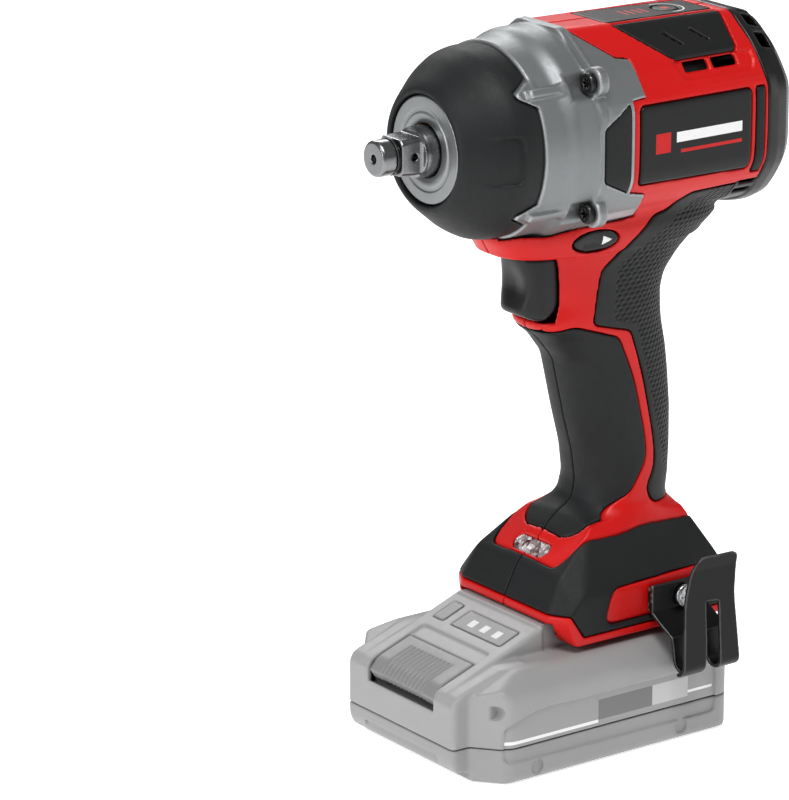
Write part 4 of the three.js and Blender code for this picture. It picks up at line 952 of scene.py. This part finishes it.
def paint(name, colour, roughness, metallic=0.0, grain=900.0, bump=0.12, vary=0.12,
                   pattern=None, worn=None, shine=0.5):
    """A surface with fine grain, uneven tone and roughness, and an optional raised pattern."""
    material = bpy.data.materials.new(name)
    material.use_nodes = True
    tree = material.node_tree
    shader = tree.nodes["Principled BSDF"].inputs
    feed(tree, shader["Metallic"], metallic)
    feed(tree, shader["Specular IOR Level"], shine)
    where = place_node(tree)
    shade = new_node(tree, "MapRange", To_Min=1 - vary, To_Max=1 + vary,
                     Value=noise(tree, where, TONE_SCALE, 4))
    tint = new_node(tree, "VectorMath", "SCALE", Scale=shade.outputs["Result"])
    feed(tree, tint.inputs[0], colour)
    base = tint.outputs["Vector"]
    if worn:  # edges rubbed to a second colour
        edge = new_node(tree, "MapRange", From_Min=0.51, From_Max=0.57,
                        Value=new_node(tree, "NewGeometry").outputs["Pointiness"])
        base = mixed(tree, edge.outputs["Result"], base, (*worn, 1))
    feed(tree, shader["Base Color"], base)
    rough = new_node(tree, "MapRange", To_Min=roughness - 0.06, To_Max=roughness + 0.08,
                     Value=noise(tree, where, GLOSS_SCALE, 3))
    feed(tree, shader["Roughness"], rough.outputs["Result"])
    normal = bumped(tree, noise(tree, where, grain, 2), bump, BUMP_DEPTH)
    if pattern:
        normal = bumped(tree, pattern(tree, where), 0.9, BUMP_DEPTH, Normal=normal)
    feed(tree, shader["Normal"], normal)
    return material


def line_node(tree, value, start, slope, at):
    """start + slope * (value - at), in metres from numbers in millimetres."""
    offset = calc(tree, "SUBTRACT", value, at * MM)
    return calc(tree, "ADD", start * MM, calc(tree, "MULTIPLY", offset, slope))


def grip_edge(tree, x, z):
    """1 behind the smooth band along the grip's front edge, 0 on the band."""
    low = calc(tree, "MINIMUM", line_node(tree, z, 28, -0.27, 145),
               line_node(tree, z, 28, -3.3, 147))
    high = line_node(tree, z, 20, 1.4, 172)
    edge = calc(tree, "MAXIMUM", calc(tree, "MAXIMUM", low, high), 17 * MM)
    share = calc(tree, "MULTIPLY", calc(tree, "SUBTRACT", x, edge), 1 / (0.8 * MM))
    return calc(tree, "MINIMUM", calc(tree, "MAXIMUM", share, 0.0), 1.0)


HEX_WAVE = 2 * math.pi / 0.0018  # one row each 1.8 mm


def hex_pattern(tree, where):
    """Small raised cells in rows, wrapped from the side of the handle round its back."""
    x, y, z = axes_of(tree, where)
    along = calc(tree, "SUBTRACT", x, calc(tree, "ABSOLUTE", y))
    total = 0.0
    for turn in (30, 90, 150):
        a = calc(tree, "MULTIPLY", along, 0.75 * HEX_WAVE * math.cos(math.radians(turn)))
        b = calc(tree, "MULTIPLY", z, HEX_WAVE * math.sin(math.radians(turn)))
        total = calc(tree, "ADD", calc(tree, "COSINE", calc(tree, "ADD", a, b)), total)
    return calc(tree, "MULTIPLY", total, grip_edge(tree, x, z))


def band(tree, value, low, high):
    """1 between two values."""
    reach = calc(tree, "ABSOLUTE", calc(tree, "SUBTRACT", value, (low + high) / 2))
    return calc(tree, "LESS_THAN", reach, (high - low) / 2)


def box_mask(tree, u, v, u0, u1, v0, v1):
    """1 inside a rectangle."""
    return calc(tree, "MULTIPLY", band(tree, u, u0, u1), band(tree, v, v0, v1))


def arrow_mask(tree, u, v, u0, u1, middle, half):
    """1 inside a triangle that points along u: base u0, tip u1, middle v, half height."""
    edge = calc(tree, "MULTIPLY", calc(tree, "SUBTRACT", u1, u), half / (u1 - u0))
    reach = calc(tree, "ABSOLUTE", calc(tree, "SUBTRACT", v, middle))
    return calc(tree, "MULTIPLY", calc(tree, "GREATER_THAN", u, u0),
                calc(tree, "LESS_THAN", reach, edge))


def ring_mask(tree, u, v, mu, mv, r0, r1, u0):
    """1 on the part of a ring beyond u0: middle u, middle v, inner and outer radius."""
    squares = [calc(tree, "POWER", calc(tree, "ABSOLUTE", calc(tree, "SUBTRACT", *pair)), 2.0)
               for pair in ((u, mu), (v, mv))]
    radius = calc(tree, "SQRT", calc(tree, "ADD", *squares))
    return calc(tree, "MULTIPLY", band(tree, radius, r0, r1),
                calc(tree, "GREATER_THAN", u, u0))


MASKS = {"box": box_mask, "arrow": arrow_mask, "ring": ring_mask}


def add_prints(material, plane, prints):
    """Plain printed shapes in millimetres on a material, in two of the axes x, y and z."""
    tree = material.node_tree
    final = tree.nodes["Principled BSDF"].inputs["Base Color"]
    axes = dict(zip("xyz", axes_of(tree, place_node(tree))))
    base = final.links[0].from_socket
    for shape, place, colour in prints:
        mask = MASKS[shape](tree, axes[plane[0]], axes[plane[1]], *(size * MM for size in place))
        base = mixed(tree, mask, base, (*colour, 1))
    feed(tree, final, base)
    return material


def lens_material(name, dark, light):
    """A faceted clear moulding over a bright lamp; each cell is painted between the dark and light colours, as
    painted glints.
    """
    material = paint(name, light, 0.12, bump=0.02, vary=0.05)
    tree = material.node_tree
    shader = tree.nodes["Principled BSDF"].inputs
    cells = new_node(tree, "TexVoronoi", Scale=FACET_SCALE, Vector=place_node(tree)).outputs
    base = shader["Base Color"].links[0].from_socket
    # Each facet cell gets a painted tone between the dark and the light colour: painted reddish and white glints.
    share = axes_of(tree, cells["Color"])[0]
    feed(tree, shader["Base Color"], mixed(tree, share, (*dark, 1), base))
    before = shader["Normal"].links[0].from_socket
    facets = bumped(tree, cells["Distance"], 1.0, FACET_DEPTH, Normal=before)
    feed(tree, shader["Normal"], facets)
    feed(tree, shader["Transmission Weight"], 0.35)
    feed(tree, shader["IOR"], 1.49)
    return material


WHITE_INK = (0.80,) * 3
RED_INK = (0.55, 0.012, 0.012)
PALE_INK = (0.52,) * 3
DARK_INK = (0.20,) * 3
LAMP_INK = (0.55,) * 3

RED = paint("red_plastic", (0.58, 0.008, 0.007), 0.36, bump=0.05, vary=0.05, shine=0.4)
RUBBER = paint("black_rubber", (0.014, 0.015, 0.016), 0.55, bump=0.3, vary=0.15, shine=0.4)
GRIP_RUBBER = paint("grip_rubber", (0.013, 0.014, 0.015), 0.52, bump=0.15, vary=0.15,
                    pattern=hex_pattern)
BLACK = paint("black_plastic", (0.009, 0.0095, 0.010), 0.34)
PANEL_BLACK = paint("panel_plastic", (0.014, 0.0145, 0.015), 0.42, bump=0.1, vary=0.1, shine=0.4)
SIDE_PRINT = add_prints(
    paint("side_label_plastic", (0.011, 0.0115, 0.012), 0.42, bump=0.06, vary=0.08, shine=0.4),
    "xz", [("box", (20, 26.5, 212.2, 219.2), RED_INK), ("box", (29, 58, 215.2, 218.8), WHITE_INK),
           ("box", (31, 58, 211.4, 212.6), RED_INK)])
TOP_PRINT = add_prints(
    paint("top_panel_plastic", (0.010, 0.009, 0.010), 0.34, bump=0.03, vary=0.08, shine=0.35), "xy",
    [("box", (33 + 3 * i, 34 + 3 * i, -3.2, 3.2), RED_INK) for i in range(4)]
    + [("ring", (52, 0, 6.4, 7.0, 50.5), WHITE_INK)])
MODE_PRINT = add_prints(
    paint("mode_key_plastic", (0.012, 0.010, 0.010), 0.35, bump=0.03, vary=0.08), "xy",
    [("box", (50.6, 53.4, -1.4, 1.4), RED_INK)])
SELECTOR_PRINT = add_prints(
    paint("selector_plastic", (0.009, 0.0095, 0.010), 0.30, bump=0.08, vary=0.1), "xz",
    [("arrow", (7.6, 11.4, SELECTOR.z, 1.7), WHITE_INK)])
CAST = paint("cast_aluminium", (0.25, 0.26, 0.265), 0.44, 0.6, grain=1400, bump=0.3, vary=0.08,
             worn=(0.46, 0.47, 0.48))
PLATE = paint("plate_steel", (0.30, 0.31, 0.315), 0.42, 0.8, grain=1600, vary=0.06)
STEEL = paint("bright_steel", (0.27, 0.275, 0.28), 0.27, 1.0, grain=700, bump=0.08)
OXIDE = paint("dark_steel", (0.012, 0.012, 0.013), 0.34, 0.5, grain=1200, bump=0.1, vary=0.15,
              worn=(0.16,) * 3)
ZINC = paint("zinc_steel", (0.45, 0.46, 0.47), 0.28, 1.0, grain=300, bump=0.02, vary=0.06)
CORE = paint("core_steel", (0.20, 0.20, 0.21), 0.5, 0.8)
BRONZE = paint("bronze", (0.16, 0.115, 0.07), 0.5, 1.0)
COPPER = paint("copper", (0.55, 0.20, 0.09), 0.35, 1.0)
BOARD = paint("board", (0.02, 0.12, 0.05), 0.5)
SLEEVE = paint("cell_sleeve", (0.05, 0.16, 0.38), 0.35)
LIGHT_GREY = add_prints(
    paint("light_grey_plastic", (0.34,) * 3, 0.42, bump=0.1, vary=0.04), "xz",
    [("box", (-46, -6, 14.2, 15.4), WHITE_INK), ("box", (-6, 18, 15.2, 22.6), DARK_INK),
     ("box", (18, 34, 15.2, 22.6), PALE_INK), ("box", (34, 45, 16.4, 17.4), WHITE_INK)])
MID_GREY = paint("mid_grey_plastic", (0.32,) * 3, 0.42, bump=0.1, vary=0.04)
KEY_GREY = paint("key_grey_plastic", (0.25,) * 3, 0.40, bump=0.1, vary=0.04)
GAUGE = add_prints(
    paint("gauge_plastic", (0.20,) * 3, 0.35, bump=0.05, vary=0.04), "xy",
    [("box", (-30, -26.6, -14 + 7 * i, -10.8 + 7 * i), LAMP_INK) for i in range(3)])
# The lens's facet cells are painted between dark red and near white: painted glints and reflections.
LENS_PAINTED_GLINTS = lens_material("clear_lens", (0.10, 0.02, 0.02), (0.95, 0.92, 0.92))


# ---- building the pieces ----
def build_body():
    outlines = {
        "rear_grip": (rear_mask(), GRIP_RUBBER), "front_grip": (front_mask(), RUBBER),
        "side_label": (from_side(SIDE_LABEL), SIDE_PRINT),
        "side_strip": (from_side(SIDE_STRIP), RUBBER)}
    shell = housing_field()
    for word in ("left", "right"):
        mirror = word == "right"
        field = carve(shell, screw_rooms(BODY), 0.3) if mirror else shell
        add(f"housing_{word}", BODY, field, RED, mirror)
        for name, (mask, material) in outlines.items():
            layer = both(seated(mask, PAD, 0.25, 0.7), LEFT_HALF, -end_room(BODY))
            if mirror:
                layer = both(layer, -screw_rooms(BODY))
            add(f"{name}_{word}", BODY, layer, material, mirror)
        cover = both(seated(cover_mask(), PAD, 0.2, 0.6), LEFT_HALF)
        add(f"foot_cover_{word}", BODY, cover, RUBBER, mirror)
        vent = both(seated(top_mask(VENT_PANEL), 1.2, 0.0, 0.5), LEFT_HALF)
        for x0, x1 in ((36, 41), (47.6, 53)):
            slit = polygon(BODY.x, BODY.y, [
                [x0, -17], [x1, -22.4], [x1 + 1.4, -22.4], [x0 + 1.4, -17]])
            vent = carve(vent, both(slit, -(OUTER + 1.0)), 0.2)
        add(f"vent_panel_{word}", BODY, vent, PANEL_BLACK, mirror)


GRID_MARGIN = 0.6


def add(name, g, field, material, mirror=False, keep=0.4):
    """A visual piece that stands for the CAD node of the same name."""
    points, faces = surface(g, field)
    if mirror:
        points[:, 1] *= -1
        faces = faces[:, ::-1]
    finish_piece(new_piece(f"{name}_look", points, faces, keep), name, material)


def local_grid(name, pitch):
    """A grid round a CAD node's own box."""
    low, high = (np.array(corner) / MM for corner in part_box(name))
    return Grid(low - GRID_MARGIN, high + GRID_MARGIN, pitch)


def add_local(name, pitch, make, material, keep=0.4):
    g = local_grid(name, pitch)
    add(name, g, make(g), material, keep=keep)


def build_top():
    g = Grid((17, -11, 248), (67, 11, 256), 0.35)
    outer = barrel_surface(g)
    disc = away(g.x - 52, g.y)
    plate = meet(outer, from_above(TOP_PANEL, g) + SEAM, 0.5)
    plate = both(plate, -(outer + 1.2))
    add("top_panel", g, carve(plate, disc - 4.8, 0.3), TOP_PRINT)
    key = both(meet(outer, disc - 4.5, 0.5), -(outer + 0.7))
    add("mode_button", g, key, MODE_PRINT)


def build_nose():
    add("gearcase", NOSE, gearcase_field(), CAST)
    add("nose_boot", NOSE, boot_field(), RUBBER)
    insert = insert_field()
    for word in ("left", "right"):
        add(f"flange_insert_{word}", NOSE, insert, RUBBER, word == "right")
    finish_piece(lathe_piece("front_plate_look", FRONT_PLATE), "front_plate", PLATE)
    g = Grid((-73, -10, AXIS_Z - 10), (-36, 10, AXIS_Z + 10), 0.25)
    add("anvil", g, both(anvil_field(g), g.x + 37), STEEL, keep=0.5)
    g = local_grid("friction_ring", 0.15)
    ring = turned(g, [[-66.4, 5.4, 0.3], [-66.4, 6.5, 0.3], [-65.1, 6.5, 0.3], [-65.1, 5.4, 0.3]])
    gap = both(g.off - 1.3, g.up)
    add("friction_ring", g, carve(ring, gap, 0.2), OXIDE, keep=0.6)
    for number, (y, z) in enumerate(SCREWS, 1):
        build_gearcase_screw(f"gearcase_screw_{number}", y, AXIS_Z + z)


def build_gearcase_screw(name, y, z):
    g = local_grid(name, 0.2)
    front = FLANGE_X - 0.3 - SCREW_HEAD.high
    head = rod(g, front, FLANGE_X - 0.3, SCREW_HEAD.r, y, z, 0.9)
    shank = rod(g, FLANGE_X - 0.5, -1.6, 2, y, z)
    turn = np.arctan2(g.z - z, g.y - y)
    star = away(g.y - y, g.z - z) - (1.6 + 0.35 * np.cos(6 * turn))
    star = both(star, between(g.x, front - 3, front + 1.3))
    add(name, g, carve(either(head, shank), star, 0.3), OXIDE)


def build_controls():
    add_local("trigger", 0.4, trigger_field, BLACK)
    add_local("direction_selector", 0.3, selector_field, SELECTOR_PRINT)
    g = local_grid("led_lens", 0.25)
    body = hull_field(g, FOOT, 0.6)
    field = both(meet(body, from_above(LAMP, g), 0.4), 59.5 - g.z)
    # The lens material carries painted glints: its cells are painted between dark red and near white.
    add("led_lens", g, field, LENS_PAINTED_GLINTS)
    add_local("rear_cap", 0.5, cap_field, BLACK)


def build_clip():
    add_local("belt_clip", 0.3, clip_field, OXIDE, keep=0.5)
    g = local_grid("belt_clip_screw", 0.2)
    head = rod_y(g, 36, 51, -37.6, -35.6, 4.2, 0.9)
    shank = rod_y(g, 36, 51, -36, -32.6, 2)
    slot = either(np.abs(g.x - 36), np.abs(g.z - 51)) - 0.7
    slot = both(slot, np.hypot(g.x - 36, g.z - 51) - 2.4, g.y + 36.6)
    add("belt_clip_screw", g, carve(either(head, shank), slot, 0.2), ZINC)


def build_battery():
    g = Grid((-62, -43.5, -0.5), (54.5, 43.5, 48), 0.5)
    shell = battery_shell(g)
    split = PACK.seam
    add("battery_upper_case", g, meet(shell, (split + 0.15) - g.z, 0.15), LIGHT_GREY)
    add("battery_lower_case", g, meet(shell, g.z - (split - 0.15), 0.15), MID_GREY)
    g = local_grid("battery_gauge_lens", 0.3)
    add("battery_gauge_lens", g, deck_piece_field(g, GAUGE_LENS, 1.2), GAUGE)
    g = local_grid("battery_gauge_button", 0.25)
    add("battery_gauge_button", g, deck_piece_field(g, GAUGE_KEY, 0.8, 0.2),
        KEY_GREY)
    add_local("battery_release_button", 0.35, release_field, KEY_GREY)


build_body()
build_top()
build_nose()
build_controls()
build_clip()
build_battery()

# ---- pieces that keep their CAD shape ----
KEPT = [
    (STEEL, "hammer cam_shaft hammer_spring planet_gear_1 planet_gear_2 planet_gear_3 ring_gear"),
    (STEEL, "rotor rear_bearing"), (CORE, "stator_core"), (COPPER, "stator_windings"),
    (BLACK, "fan switch_module terminal_block battery_contacts"), (BRONZE, "anvil_bushing"),
    (OXIDE, "housing_screw_1 housing_screw_2 housing_screw_3 housing_screw_4"),
    (BOARD, "controller_board"), (SLEEVE, "battery_cells")]
for material, names in KEPT:
    for name in names.split():
        wear(frame["nodes"][name], material)


# ---- floor and light ----
def add_floor():
    work = bmesh.new()
    bmesh.ops.create_grid(work, x_segments=2, y_segments=2, size=6)
    mesh = bpy.data.meshes.new("floor")
    work.to_mesh(mesh)
    work.free()
    floor = new_object("floor", mesh)
    floor.location.z = cad_bounds[0][2] - 0.0003
    paper = paint("floor", (0.86,) * 3, 0.8, bump=0.0, vary=0.01, shine=0.0)
    shader = paper.node_tree.nodes["Principled BSDF"]
    shader.inputs["Emission Color"].default_value = (1, 1, 1, 1)
    shader.inputs["Emission Strength"].default_value = 0.6
    mesh.materials.append(paper)


LIT_PLACE = (0, 0, 0.14)


def add_area(name, place, size, power):
    data = bpy.data.lights.new(name, "AREA")
    data.shape = "RECTANGLE"
    data.size, data.size_y = size
    data.energy = power
    light = new_object(name, data)
    light.location = place
    aim(light, Vector(place) - Vector(LIT_PLACE))


def add_lights():
    add_area("key", (-0.35, -0.5, 1.5), (0.7, 0.7), 15)
    add_area("left", (-1.5, -0.1, 0.7), (0.3, 1.0), 9)
    add_area("right", (1.3, -0.9, 0.5), (0.3, 1.0), 3)
    add_area("rear", (0.5, 1.1, 1.0), (0.9, 0.5), 8)
    world = bpy.data.worlds.new("world")
    world.use_nodes = True
    shader = world.node_tree.nodes["Background"]
    shader.inputs["Color"].default_value = (1, 1, 1, 1)
    shader.inputs["Strength"].default_value = 0.3
    bpy.context.scene.world = world


add_floor()
add_lights()
bpy.context.scene.view_settings.view_transform = "Standard"
bpy.context.scene.view_settings.gamma = 0.85
